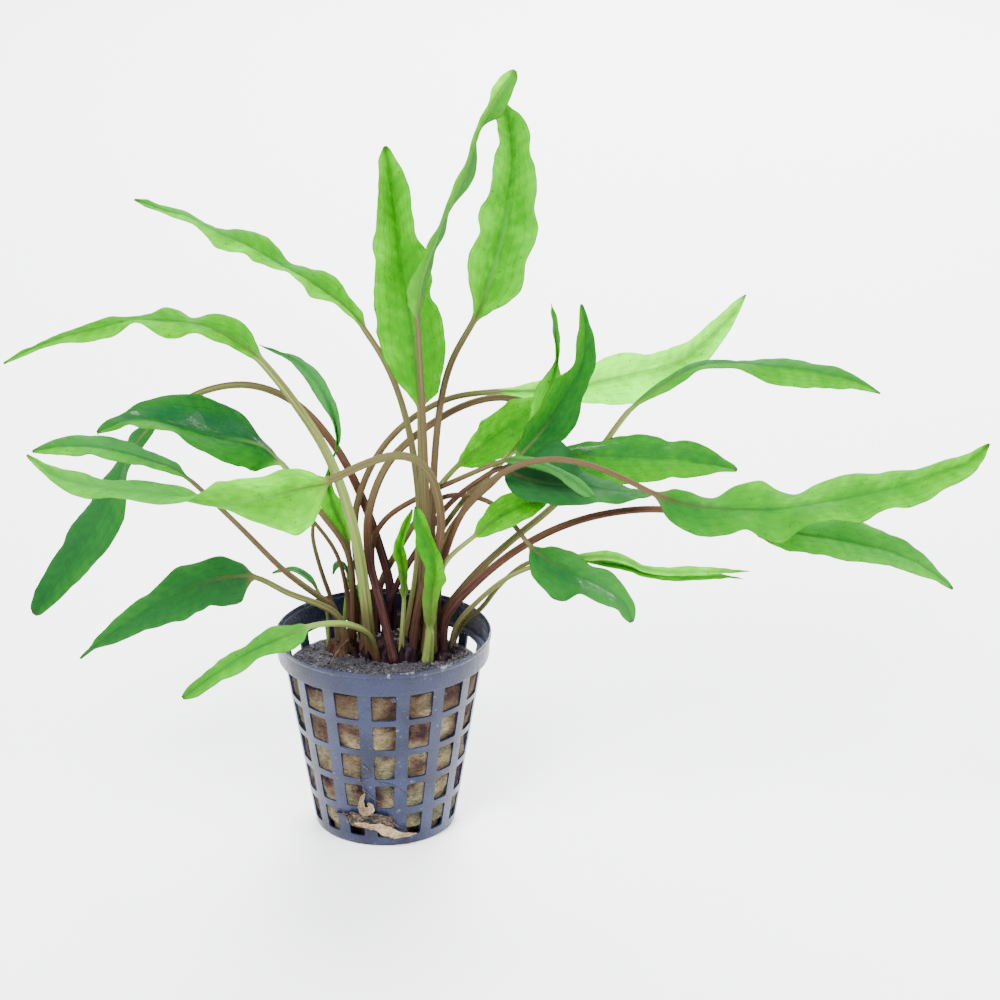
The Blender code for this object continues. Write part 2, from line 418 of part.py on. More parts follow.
def blade_shape(share, widest):
    """Half of a leaf's outline: 0 at its foot and tip, 1 where it is widest."""
    if share <= widest:
        return math.sin(0.5 * math.pi * share / widest) ** 0.75
    return math.cos(0.5 * math.pi * (share - widest) / (1.0 - widest)) ** 0.95


def make_leaf(name, leaf, finish):
    """One closed skin: six-sided rings along the route, round in the stalk and flat in the blade."""
    route = Route(leaf)
    young = name.startswith("young")
    stalk_rings = YOUNG_STALK_RINGS if young else STALK_RINGS
    blade_rings = YOUNG_BLADE_RINGS if young else BLADE_RINGS
    foot = route.foot(FOOT_OF_STALKS)
    start = route.blade_start
    stations = route.spread(foot, start, stalk_rings)[:-1]
    stations += route.spread(start, route.length - 0.4, blade_rings)
    thick_foot, thick_top = leaf["stem"]
    wave_height, wave_number, wave_start = leaf["waves"]
    bm = bmesh.new()
    loops = []
    for distance in stations:
        place, side, face = route.frame(distance)
        share = max(0.0, (distance - start) / (route.length - start))
        stalk_share = min(1.0, (distance - foot) / (start - foot))
        radius = 0.5 * (thick_foot + (thick_top - thick_foot) * stalk_share) * (1.0 - 0.75 * share)
        half = max(radius, 0.5 * leaf["width"] * blade_shape(share, leaf["widest"]))
        flat = min(1.0, share / FLATTENING)
        thick = radius * (1.0 - flat) + 0.5 * BLADE_THICKNESS * flat
        ring = bmesh.ops.create_circle(bm, segments=SIDES, radius=1.0)["verts"]
        for vert in ring:
            across, lift = vert.co.x, vert.co.y
            turn = wave_number * share + wave_start + 0.2 * across
            swing = wave_height * math.sin(2.0 * math.pi * turn)
            rise = (leaf["trough"] * half * across ** 2 + swing * abs(across)) * flat
            vert.co = place + side * (half * across) + face * (thick * lift + rise)
        loops.append([edge for edge in bm.edges if edge.verts[0] in ring and edge.verts[1] in ring])
    for lower, upper in zip(loops, loops[1:]):
        bmesh.ops.bridge_loops(bm, edges=lower + upper)
    bmesh.ops.edgeloop_fill(bm, edges=loops[0])
    bmesh.ops.edgeloop_fill(bm, edges=loops[-1])
    return node_from(bm, name, finish)


def pot_radius(height):
    """The outer wall's radius below the rim."""
    return BASE_RADIUS + (WALL_TOP_RADIUS - BASE_RADIUS) * height / RIM_FOOT


def make_net_pot(finish):
    """A turned sheet with the windows' faces left out, given its wall thickness."""
    levels = [(BASE_DISC_RADIUS, 0.0, False), (BASE_SLOT_RADIUS, 0.0, True), (BASE_RADIUS, 0.0, False)]
    for row in range(WINDOW_ROWS):
        low = LOWEST_WINDOW + row * WINDOW_PITCH
        levels.append((pot_radius(low), low, False))
        levels.append((pot_radius(low + WINDOW_HEIGHT), low + WINDOW_HEIGHT, True))
    levels.append((WALL_TOP_RADIUS, RIM_FOOT, False))
    levels.append((RIM_RADIUS - 0.7, RIM_FOOT + 0.3, False))
    levels.append((RIM_RADIUS, POT_HEIGHT, False))
    bm = bmesh.new()
    ring = bmesh.ops.create_circle(bm, segments=2 * COLUMNS, radius=1.0, cap_ends=True)["verts"]
    pitch = 2.0 * math.pi / COLUMNS
    bmesh.ops.rotate(bm, cent=(0, 0, 0), matrix=Matrix.Rotation(0.25 * pitch, 3, "Z"), verts=ring)
    radius_before, height_before = levels[0][0], levels[0][1]
    edges = bm.edges[:]
    place_ring(ring, radius_before, height_before, pitch)
    for radius, height, windows in levels[1:]:
        made = bmesh.ops.extrude_edge_only(bm, edges=edges)["geom"]
        ring = [part for part in made if isinstance(part, bmesh.types.BMVert)]
        edges = [part for part in made if isinstance(part, bmesh.types.BMEdge)
                 and part.verts[0] in ring and part.verts[1] in ring]
        bands = [part for part in made if isinstance(part, bmesh.types.BMFace)]
        place_ring(ring, radius, height, pitch)
        if windows:
            holes = [face for face in bands if column_share(face, pitch) < 0.25]
            bmesh.ops.delete(bm, geom=holes, context="FACES_ONLY")
    thing = node_from(bm, "net_pot", finish)
    wall = thing.modifiers.new("wall", "SOLIDIFY")
    wall.thickness = WALL * MM
    wall.offset = -1.0
    wall.use_even_offset = True
    thing.data.set_sharp_from_angle(angle=math.radians(35.0))
    return thing


def place_ring(ring, radius, height, pitch):
    """Set a ring's corners at the sides of the ribs, which keep their width up the wall."""
    half_rib = min(math.asin(0.5 * RIB_WIDTH / radius), 0.3 * pitch)
    for vert in ring:
        turn = math.atan2(vert.co.y, vert.co.x) + 0.5 * math.pi
        column = math.floor(turn / pitch)
        rib_left = (turn / pitch - column) < 0.5
        angle = column * pitch + (0.5 * pitch - half_rib if rib_left else 0.5 * pitch + half_rib)
        angle -= 0.5 * math.pi
        vert.co = Vector((radius * math.cos(angle), radius * math.sin(angle), height))


def column_share(face, pitch):
    """How far a face's middle is from the middle of its column, in columns."""
    middle = face.calc_center_median()
    turn = (math.atan2(middle.y, middle.x) + 0.5 * math.pi) / pitch
    return abs(turn - round(turn))


def turned(outline, segments):
    """Spin an outline, given as (radius, height) from the axis round to the axis again."""
    bm = bmesh.new()
    verts = [bm.verts.new((radius, 0.0, height)) for radius, height in outline]
    edges = [bm.edges.new(pair) for pair in zip(verts, verts[1:])]
    bmesh.ops.spin(bm, geom=verts + edges, cent=(0, 0, 0), axis=(0, 0, 1), angle=2.0 * math.pi,
                   steps=segments, use_merge=True)
    bmesh.ops.remove_doubles(bm, verts=bm.verts, dist=0.001)
    return bm


def inner_radius(height):
    return pot_radius(height) - WALL - SIDE_CLEARANCE


def lean(bm):
    """Slope what lies on the plug, which sits higher at the front of the pot than at its back."""
    for vert in bm.verts:
        vert.co.z += SOIL_SLOPE * vert.co.y


def make_plug(finish):
    """A tapered plug whose top is cut off at the slope of the soil."""
    tall = PLUG_TOP + 4.0
    bm = turned([(0.0, PLUG_FOOT), (inner_radius(PLUG_FOOT) - 0.4, PLUG_FOOT), (inner_radius(tall), tall),
                 (0.0, tall)], 24)
    bmesh.ops.bisect_plane(bm, geom=bm.verts[:] + bm.edges[:] + bm.faces[:], plane_co=(0, 0, PLUG_TOP),
                           plane_no=(0, -SOIL_SLOPE, 1), clear_outer=True)
    bmesh.ops.holes_fill(bm, edges=[edge for edge in bm.edges if edge.is_boundary], sides=0)
    return node_from(bm, "rockwool_plug", finish)


def make_soil(finish):
    """A thin mounded layer on the plug."""
    foot = PLUG_TOP + GAP
    edge = inner_radius(foot) - 0.5
    bm = turned([(0.0, foot), (edge, foot), (edge, SOIL_EDGE), (0.7 * edge, SOIL_CROWN - 0.1),
                 (0.0, SOIL_CROWN)], 24)
    lean(bm)
    return node_from(bm, "soil", finish)


def make_crown(name, middle, half_sizes, finish):
    """A low knot with a broad top, from which the stalks rise."""
    bm = bmesh.new()
    bmesh.ops.create_cone(bm, cap_ends=True, segments=16, radius1=1.0, radius2=0.92, depth=CROWN_HEIGHT)
    bmesh.ops.scale(bm, vec=(half_sizes[0], half_sizes[1], 1.0), verts=bm.verts)
    foot = SOIL_CROWN + GAP
    bmesh.ops.translate(bm, vec=(middle[0], middle[1], foot + 0.5 * CROWN_HEIGHT), verts=bm.verts)
    bmesh.ops.bevel(bm, geom=[edge for edge in bm.edges if min(v.co.z for v in edge.verts) > foot + 1.0],
                    offset=0.7, segments=2, profile=0.5, affect="EDGES", material=-1)
    lean(bm)
    return node_from(bm, name, finish)


def make_dead_leaf(finish):
    """A limp strip that lies against the pot's tapering front wall."""
    bm = bmesh.new()
    bmesh.ops.create_grid(bm, x_segments=8, y_segments=2, size=0.5)
    route = smooth_route([Vector((across, 0.0, up)) for across, up in DEAD_LEAF_POINTS], steps=2, rounds=1)
    for vert in bm.verts:
        along = (vert.co.x + 0.5) * (len(route) - 1)
        spot = min(int(along), len(route) - 2)
        middle = route[spot].lerp(route[spot + 1], along - spot)
        half = DEAD_LEAF_WIDTH * blade_shape(0.08 + 0.86 * (vert.co.x + 0.5), 0.45)
        height = max(middle.z + vert.co.y * half, 0.6)
        reach = pot_radius(height) + GAP + 0.25
        vert.co = Vector((middle.x, -math.sqrt(reach ** 2 - middle.x ** 2), height))
    bmesh.ops.solidify(bm, geom=bm.faces[:], thickness=-DEAD_LEAF_THICKNESS)
    return node_from(bm, "dead_leaf", finish)


def main():
    clear_scene()
    pot_black = material("pot_black", (0.035, 0.04, 0.055), 0.42)
    wool = material("rockwool", (0.33, 0.25, 0.14), 0.95)
    earth = material("soil", (0.05, 0.042, 0.035), 0.97)
    crown = material("crown", (0.11, 0.045, 0.045), 0.6)
    leaf_green = material("leaf_green", (0.16, 0.38, 0.05), 0.38)
    withered = material("withered_leaf", (0.2, 0.13, 0.06), 0.8)
    make_net_pot(pot_black)
    make_plug(wool)
    make_soil(earth)
    for name, (middle, half_sizes) in CROWNS.items():
        make_crown(name, middle, half_sizes, crown)
    for name, leaf in LEAVES.items():
        make_leaf(name, leaf, leaf_green)
    make_dead_leaf(withered)


main()
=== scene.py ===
# %% [markdown]
# # A potted cryptocoryne
# A small aquarium plant in its net pot: a rosette of long-stalked, wavy leaves that grows out of a
# plug of mineral wool. The frame holds the plain solids. Each of them is dressed here by a finer
# piece of the same form, and every finish is made from nodes.

# %% Load the frame
import math
import random

import bmesh
import bpy
from mathutils import Matrix, Vector, noise


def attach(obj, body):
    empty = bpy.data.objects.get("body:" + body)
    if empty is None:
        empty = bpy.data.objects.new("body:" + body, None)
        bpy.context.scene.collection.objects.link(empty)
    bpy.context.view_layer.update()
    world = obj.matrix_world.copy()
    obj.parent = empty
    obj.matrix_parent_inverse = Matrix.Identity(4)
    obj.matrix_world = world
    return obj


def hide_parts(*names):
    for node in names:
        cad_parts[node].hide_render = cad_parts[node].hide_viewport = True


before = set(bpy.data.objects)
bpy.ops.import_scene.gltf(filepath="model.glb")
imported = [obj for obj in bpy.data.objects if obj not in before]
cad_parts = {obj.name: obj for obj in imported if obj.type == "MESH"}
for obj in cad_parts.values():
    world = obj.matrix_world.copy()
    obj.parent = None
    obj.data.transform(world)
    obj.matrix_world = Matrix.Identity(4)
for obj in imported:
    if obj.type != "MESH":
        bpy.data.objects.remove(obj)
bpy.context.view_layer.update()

# %% [markdown]
# ## Camera, lights and floor
# The plant stands about 0.9 m from a long lens that looks down on it by 21.6 degrees. A leaf is
# thin enough to glow when light comes through it, so besides the broad soft light from the front
# there is a large light behind the plant, and the room itself is white.

# %% The camera
VIEW_TILT = math.radians(21.6)
EYE = Vector((29.5, -836.8, 418.7))
MM = 0.001

camera = bpy.data.objects.new("camera", bpy.data.cameras.new("camera"))
camera.data.lens = 129.96
camera.data.sensor_width = 36.0
camera.data.clip_start = 0.05
camera.location = EYE * MM
camera.rotation_euler = (math.pi / 2.0 - VIEW_TILT, 0.0, 0.0)
bpy.context.collection.objects.link(camera)
bpy.context.scene.camera = camera
print("camera at", tuple(round(value, 3) for value in camera.location))


# %% Lights, the white room and the floor
def soft_light(name, place, target, size, power):
    lamp = bpy.data.objects.new(name, bpy.data.lights.new(name, "AREA"))
    lamp.data.shape = "DISK"
    lamp.data.size = size
    lamp.data.energy = power
    lamp.location = place
    lamp.rotation_euler = (Vector(target) - Vector(place)).to_track_quat("-Z", "Y").to_euler()
    bpy.context.collection.objects.link(lamp)


soft_light("key", (-0.45, -0.75, 1.0), (0.0, 0.0, 0.08), 0.7, 46.0)
soft_light("fill", (0.8, -0.5, 0.5), (0.0, 0.0, 0.08), 0.8, 14.0)
soft_light("behind", (0.15, 0.9, 0.75), (0.0, 0.0, 0.1), 1.0, 48.0)

room = bpy.data.worlds.new("white_room")
room.use_nodes = True
room.node_tree.nodes["Background"].inputs["Color"].default_value = (0.97, 0.985, 1.0, 1.0)
room.node_tree.nodes["Background"].inputs["Strength"].default_value = 1.45
bpy.context.scene.world = room

bm = bmesh.new()
bmesh.ops.create_grid(bm, x_segments=2, y_segments=2, size=3.0)
floor_mesh = bpy.data.meshes.new("floor")
bm.to_mesh(floor_mesh)
bm.free()
floor = bpy.data.objects.new("floor", floor_mesh)
bpy.context.collection.objects.link(floor)
print("three lights and a floor")

# %% [markdown]
# ## Small helpers
# Every piece is shaped in millimetres, because the numbers are easier to read, and is scaled to
# metres as the last step. Its place stays in its mesh, so that patterns on Object coordinates lie
# where they should. Nodes are wired by name with two short helpers.

# %% Helpers for pieces
def piece_from(bm, name, replaced=None, smooth=True, sharp=None):
    """A bmesh in millimetres becomes a named piece that rides on the plant."""
    bmesh.ops.scale(bm, vec=(MM, MM, MM), verts=bm.verts)
    mesh = bpy.data.meshes.new(name)
    bm.to_mesh(mesh)
    bm.free()
    if smooth:
        mesh.shade_smooth()
    if sharp:
        mesh.set_sharp_from_angle(angle=math.radians(sharp))
    piece = bpy.data.objects.new(name, mesh)
    bpy.context.collection.objects.link(piece)
    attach(piece, "root")
    if replaced:
        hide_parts(replaced)
    return piece


def swell(vector, size, strength, seed=0.0):
    """A soft seeded offset for a point, between plus and minus its strength."""
    return strength * noise.noise(vector / size + Vector((seed, 1.7 * seed, -seed)))


def around(radius, angle, height):
    """The point at an angle and a height, so far from the pot's axis."""
    return Vector((radius * math.cos(angle), radius * math.sin(angle), height))


def of_kind(made, kind):
    """What an operator made, of one kind: its points or its faces."""
    return [part for part in made if isinstance(part, kind)]


def upright_tube(sides, rings):
    """A closed tube of radius 1, between -1 and 1 in height, cut across into rings."""
    bm = bmesh.new()
    bmesh.ops.create_cone(bm, cap_ends=True, segments=sides, radius1=1.0, radius2=1.0, depth=2.0)
    upright = [edge for edge in bm.edges if abs(edge.verts[0].co.z - edge.verts[1].co.z) > 1.0]
    bmesh.ops.subdivide_edges(bm, edges=upright, cuts=rings - 2)
    return bm


# %% Helpers for nodes
def new_material(name):
    made = bpy.data.materials.new(name)
    made.use_nodes = True
    return made, made.node_tree, made.node_tree.nodes["Principled BSDF"]


def add_node(tree, kind, links=None, **values):
    """Add a node, set its properties or sockets by name, and link what feeds it."""
    node = tree.nodes.new(kind)
    for key, value in values.items():
        socket = key.replace("_", " ")
        if hasattr(node, key):
            setattr(node, key, value)
        else:
            node.inputs[socket].default_value = value
    for socket, source in (links or {}).items():
        tree.links.new(source, node.inputs[socket])
    return node


def ramp(tree, source, stops):
    """A colour ramp from (position, colour) stops."""
    node = add_node(tree, "ShaderNodeValToRGB", {"Fac": source})
    while len(node.color_ramp.elements) < len(stops):
        node.color_ramp.elements.new(0.5)
    for element, (position, colour) in zip(node.color_ramp.elements, stops):
        element.position = position
        element.color = (*colour, 1.0)
    return node.outputs["Color"]


def blend(tree, share, first, second, mode="MIX"):
    """Mix two colours; each may be a colour or another node's output."""
    node = add_node(tree, "ShaderNodeMix", data_type="RGBA", blend_type=mode)
    for socket, value in (("Factor", share), ("A", first), ("B", second)):
        target = [item for item in node.inputs if item.name == socket and item.enabled][0]
        if isinstance(value, (int, float)):
            target.default_value = value
        elif isinstance(value, tuple):
            target.default_value = (*value, 1.0)
        else:
            tree.links.new(value, target)
    return [item for item in node.outputs if item.enabled][0]


def reckon(tree, operation, first, second=0.0, clamp=False):
    """One Math node; each side may be a number or another node's output."""
    node = add_node(tree, "ShaderNodeMath", operation=operation, use_clamp=clamp)
    for index, value in enumerate((first, second)):
        if isinstance(value, (int, float)):
            node.inputs[index].default_value = value
        else:
            tree.links.new(value, node.inputs[index])
    return node.outputs["Value"]


def stretch(tree, source, low, high, to_low=0.0, to_high=1.0):
    """Map a range of values to another, held at its ends."""
    node = add_node(tree, "ShaderNodeMapRange", {"Value": source})
    for socket, value in (("From Min", low), ("From Max", high), ("To Min", to_low), ("To Max", to_high)):
        node.inputs[socket].default_value = value
    return node.outputs["Result"]


def own_place(tree):
    """Where a point lies on the plant, in metres."""
    return add_node(tree, "ShaderNodeTexCoord").outputs["Object"]


def drawn_out(tree, vector, scale):
    """A pattern's place, scaled differently along each axis so that the pattern is drawn out."""
    node = add_node(tree, "ShaderNodeMapping", {"Vector": vector})
    node.inputs["Scale"].default_value = scale
    return node.outputs["Vector"]


def roughened(tree, height, strength, distance):
    """A bumpy normal from a mask; the distance is the bumps' real height in metres."""
    node = add_node(tree, "ShaderNodeBump", {"Height": height}, Strength=strength, Distance=distance)
    return node.outputs["Normal"]


print("helpers ready")

# %% [markdown]
# ## Shared effects
# Several finishes need the same two things: uneven blotches of colour, and a fine grain for the
# bump. They are built once as node groups that put out plain masks, and each material places
# them with its own scale.

# %% The blotches group
def make_group(name, inputs, outputs):
    group = bpy.data.node_groups.new(name, "ShaderNodeTree")
    for label, kind, value in inputs:
        socket = group.interface.new_socket(label, in_out="INPUT", socket_type=kind)
        if value is not None:
            socket.default_value = value
    for label, kind in outputs:
        group.interface.new_socket(label, in_out="OUTPUT", socket_type=kind)
    return group, group.nodes.new("NodeGroupInput"), group.nodes.new("NodeGroupOutput")


blotches, group_in, group_out = make_group(
    "blotches",
    [("Vector", "NodeSocketVector", None), ("Scale", "NodeSocketFloat", 100.0)],
    [("Mask", "NodeSocketFloat"), ("Fine", "NodeSocketFloat")])
broad = add_node(blotches, "ShaderNodeTexNoise", {"Vector": group_in.outputs["Vector"],
                                                  "Scale": group_in.outputs["Scale"]}, Detail=4.0)
fine_scale = reckon(blotches, "MULTIPLY", group_in.outputs["Scale"], 6.0)
fine = add_node(blotches, "ShaderNodeTexNoise", {"Vector": group_in.outputs["Vector"],
                                                 "Scale": fine_scale}, Detail=3.0)
blotches.links.new(stretch(blotches, broad.outputs["Fac"], 0.35, 0.65), group_out.inputs["Mask"])
blotches.links.new(stretch(blotches, fine.outputs["Fac"], 0.3, 0.7), group_out.inputs["Fine"])


def place_group(tree, group, links=None, **values):
    node = tree.nodes.new("ShaderNodeGroup")
    node.node_tree = group
    for key, value in values.items():
        node.inputs[key].default_value = value
    for socket, source in (links or {}).items():
        tree.links.new(source, node.inputs[socket])
    return node


print("groups:", [group.name for group in bpy.data.node_groups])

# %% [markdown]
# ## The leaves' routes
# Each leaf is laid out as it is seen: points across and up in the picture plane, and how far they
# lie behind the pot's axis. One function turns such a point into a place in the room, and a soft
# curve through the places is the leaf's midrib, from the foot of its stalk to its tip.

# %% From the picture plane to the room
MIDDLE_ACROSS = 29.46
MIDDLE_UP = 86.5
PLANE_DISTANCE = 913.0
RIGHT = Vector((1.0, 0.0, 0.0))
UPWARD = Vector((0.0, math.sin(VIEW_TILT), math.cos(VIEW_TILT)))
AWAY = Vector((0.0, math.cos(VIEW_TILT), -math.sin(VIEW_TILT)))


def in_space(across, up, behind):
    sight = AWAY + RIGHT * ((across - MIDDLE_ACROSS) / PLANE_DISTANCE)
    sight = sight + UPWARD * ((up - MIDDLE_UP) / PLANE_DISTANCE)
    return EYE + sight * ((behind - EYE.y) / sight.y)


def facing(right, up, towards):
    return (RIGHT * right + UPWARD * up - AWAY * towards).normalized()


def spline(before, start, stop, after, t):
    """The share t of the way from start to stop, on a Catmull-Rom spline."""
    return 0.5 * (2.0 * start + (stop - before) * t
                  + (2.0 * before - 5.0 * start + 4.0 * stop - after) * t ** 2
                  + (3.0 * start - before - 3.0 * stop + after) * t ** 3)


def even_out(line, rounds):
    """Draw each value of a line towards its neighbours; the two ends stay."""
    for _ in range(rounds):
        inner = [(a + b * 2.0 + c) / 4.0 for a, b, c in zip(line, line[1:], line[2:])]
        line = [line[0], *inner, line[-1]]
    return line


def smooth_route(points, steps=12, rounds=6):
    """A soft curve through the points: a spline, then a few rounds of evening out."""
    ends = [points[0] * 2.0 - points[1], *points, points[-1] * 2.0 - points[-2]]
    line = []
    for four in zip(ends, ends[1:], ends[2:], ends[3:]):
        line += [spline(*four, step / steps) for step in range(steps)]
    line.append(points[-1])
    return even_out(line, rounds)


class Route:
    """A leaf's midrib from foot to tip, asked by distance along it."""

    def __init__(self, leaf):
        stalk = [in_space(*point) for point in leaf["stalk"]]
        blade = [in_space(*point) for point in leaf["blade"]]
        self.line = smooth_route(stalk + blade)
        self.marks = [0.0]
        for a, b in zip(self.line, self.line[1:]):
            self.marks.append(self.marks[-1] + (b - a).length)
        self.length = self.marks[-1]
        join = stalk[-1]
        nearest = min(zip(self.line, self.marks), key=lambda pair: (pair[0] - join).length)
        self.blade_start = nearest[1]
        self.faces = [facing(*face) for face in leaf.get("faces", [])]

    def point(self, distance):
        distance = min(max(distance, 0.0), self.length)
        for i in range(len(self.line) - 1):
            if self.marks[i + 1] >= distance:
                share = (distance - self.marks[i]) / (self.marks[i + 1] - self.marks[i])
                return self.line[i].lerp(self.line[i + 1], share)
        return self.line[-1].copy()

    def foot(self, height):
        distance = 0.0
        while self.point(distance).z < height:
            distance += 0.1
        return distance

    def along(self, distance):
        reach = 0.01 * self.length
        return (self.point(distance + reach) - self.point(distance - reach)).normalized()

    def frame(self, distance):
        """Direction to the leaf's right edge, and direction of its upper face."""
        along = self.along(distance)
        share = (distance - self.blade_start) / (self.length - self.blade_start)
        share = min(max(share, 0.0), 1.0) * (len(self.faces) - 1)
        first = min(int(share), len(self.faces) - 2)
        face = self.faces[first].lerp(self.faces[first + 1], share - first)
        side = along.cross(face).normalized()
        return side, side.cross(along).normalized()


print("view plane ready; the origin is seen at", [round(v, 1) for v in in_space(0.0, 0.0, -17.9)])

# %% [markdown]
# ## What each leaf is like
# A leaf's stalk and blade are listed as (across, up, behind) points. Seen says how far each edge is
# seen from the midrib, at even steps from the blade's foot to its tip. Its first row is the edge on
# the left hand of someone who walks up the leaf, its second the right one, and a number above zero
# lies on the left in the picture, so a leaf shows its underside where the signs change places. Lean
# says whether each edge tilts away, 1, or towards the viewer, -1. With the leaf's real width this
# gives the edge's depth. A blade that is mostly hidden has faces instead, the ways its upper side
# looks, and a trough, how deeply it is folded. Stem is the stalk's diameter at its foot and at the
# blade, and ruffle the height and number of the edge's waves. Tone runs from dark blue-green, 0, to
# bright yellow-green, 1, and sides is what the two halves add to it. The painted sheen is a bluish
# haze, a painted reflection of the white room; wet is a film of water, and pale rib how light the
# midrib is, partly its own colour and partly a painted highlight of light through it. A stalk's
# tone runs from green, 0, over olive and brown to purple-red, 1. Tones and the painted sheen are
# spread evenly from foot to tip. Sheath is the share of a young blade over which its stalk's colour
# fades into the green.

# %% The upright leaves at the top
TOP_LEAVES = {
    "leaf_top_broad": dict(
        stalk=[(8.4, 48.0, 7.6), (9.5, 62.0, 6.2), (9.9, 80.0, 5.5), (9.4, 98.0, 5.5),
               (9.2, 109.5, 5.0)],
        blade=[(8.8, 115, 4.7), (7.9, 123, 4.5), (6.6, 133, 4.5), (5.0, 144, 4.9), (3.7, 155, 6.1),
               (2.3, 165, 7.8), (0.4, 176.2, 10.0)],
        seen=([2.6, 4.9, 6.7, 7.8, 8.5, 8.8, 8.5, 8.1, 7.7, 7.3, 6.9, 6.3, 5.7, 5.1, 4.4, 3.4, 2.4],
              [-5.0, -5.9, -7.2, -8.1, -8.3, -8.2, -6.9, -6.5, -7.5, -6.8, -5.8, -4.9, -4.2, -4.0,
               -3.9, -3.0, -2.2]),
        lean=(-1, -1), tip=0.55, width=17.0, widest=0.4, stem=(2.2, 1.5), ruffle=(0.8, 4.0),
        tone=(0.76, 0.86, 0.87), sides=(0.02, -0.04), painted_sheen=(0.0, 0.0),
        stalk_tone=(0.68, 0.62, 0.5, 0.32), wet=0.0),
    "leaf_top_twisted": dict(
        stalk=[(10.2, 46.8, 4.2), (10.6, 60.0, 3.0), (10.9, 78.0, 1.4), (10.4, 98.0, -0.5),
               (9.4, 118.0, -3.0), (8.6, 132.0, -4.9)],
        blade=[(9.1, 136.5, -5.5), (9.5, 141, -6.1), (11.2, 146.5, -6.8), (13.4, 152, -7.3),
               (15.4, 157.4, -7.7), (17.6, 162, -8.0), (20.2, 167.6, -8.0), (22.3, 173, -8.0),
               (24, 178.6, -8.0), (26.2, 184, -8.0), (29.4, 189.6, -7.5), (33.3, 195.4, -6.0)],
        seen=([-0.9, -0.9, -0.9, -1.2, -1.2, -1.0, -0.8, -0.8, -1.6, -2.3, -1.7, -1.1, -0.4, -1.0,
               -3.1, -3.4, -2.6],
              [3.1, 3.5, 2.9, 2.1, 1.6, 1.3, 1.3, 1.1, 1.0, 1.3, 1.5, 1.5, 1.2, 0.8, 1.1, 2.2,
               2.1]),
        lean=(1, 1), tip=0.5, width=9.0, widest=0.5, stem=(2.2, 1.4), ruffle=(0.5, 4.0),
        tone=(0.54, 0.42, 0.42, 0.48, 0.56, 0.74), sides=(-0.08, 0.34),
        painted_sheen=(0.1, 0.1, 0.15, 0.1, 0.0, 0.0),
        stalk_tone=(0.62, 0.45, 0.5, 0.45), wet=0.0),
    "leaf_top_right": dict(
        stalk=[(10.4, 49.4, 10.6), (11.7, 66.0, 8.2), (12.3, 82.0, 6.0), (13.0, 98.0, 6.5),
               (14.6, 112.0, 9.0), (17.4, 122.0, 12.0), (22.6, 131.4, 15.4)],
        blade=[(25.2, 137, 17.0), (27.5, 144, 18.3), (29.6, 152, 19.0), (31.2, 159, 19.0),
               (32.2, 166, 18.3), (32.8, 173, 17.2), (32.4, 179, 14.8), (31.2, 184, 11.8),
               (29.6, 187.3, 8.0)],
        seen=([1.9, 4.7, 5.9, 6.4, 6.3, 6.2, 6.5, 6.2, 5.4, 4.7, 4.0, 4.1, 3.9, 3.3, 2.6],
              [-2.9, -6.5, -8.3, -8.1, -8.0, -8.5, -8.7, -6.8, -6.0, -5.9, -5.4, -4.5, -3.9, -2.8,
               -1.7]),
        lean=(-1, -1), tip=0.4, width=16.4, widest=0.38, stem=(2.2, 1.6), ruffle=(0.9, 4.5),
        pale_rib=0.7, tone=(0.88, 0.92, 0.92, 0.86), sides=(0.0, -0.02), painted_sheen=(0.0, 0.1),
        stalk_tone=(0.95, 0.65, 0.55, 0.36), wet=0.0),
}
print("the upright leaves at the top:", len(TOP_LEAVES))

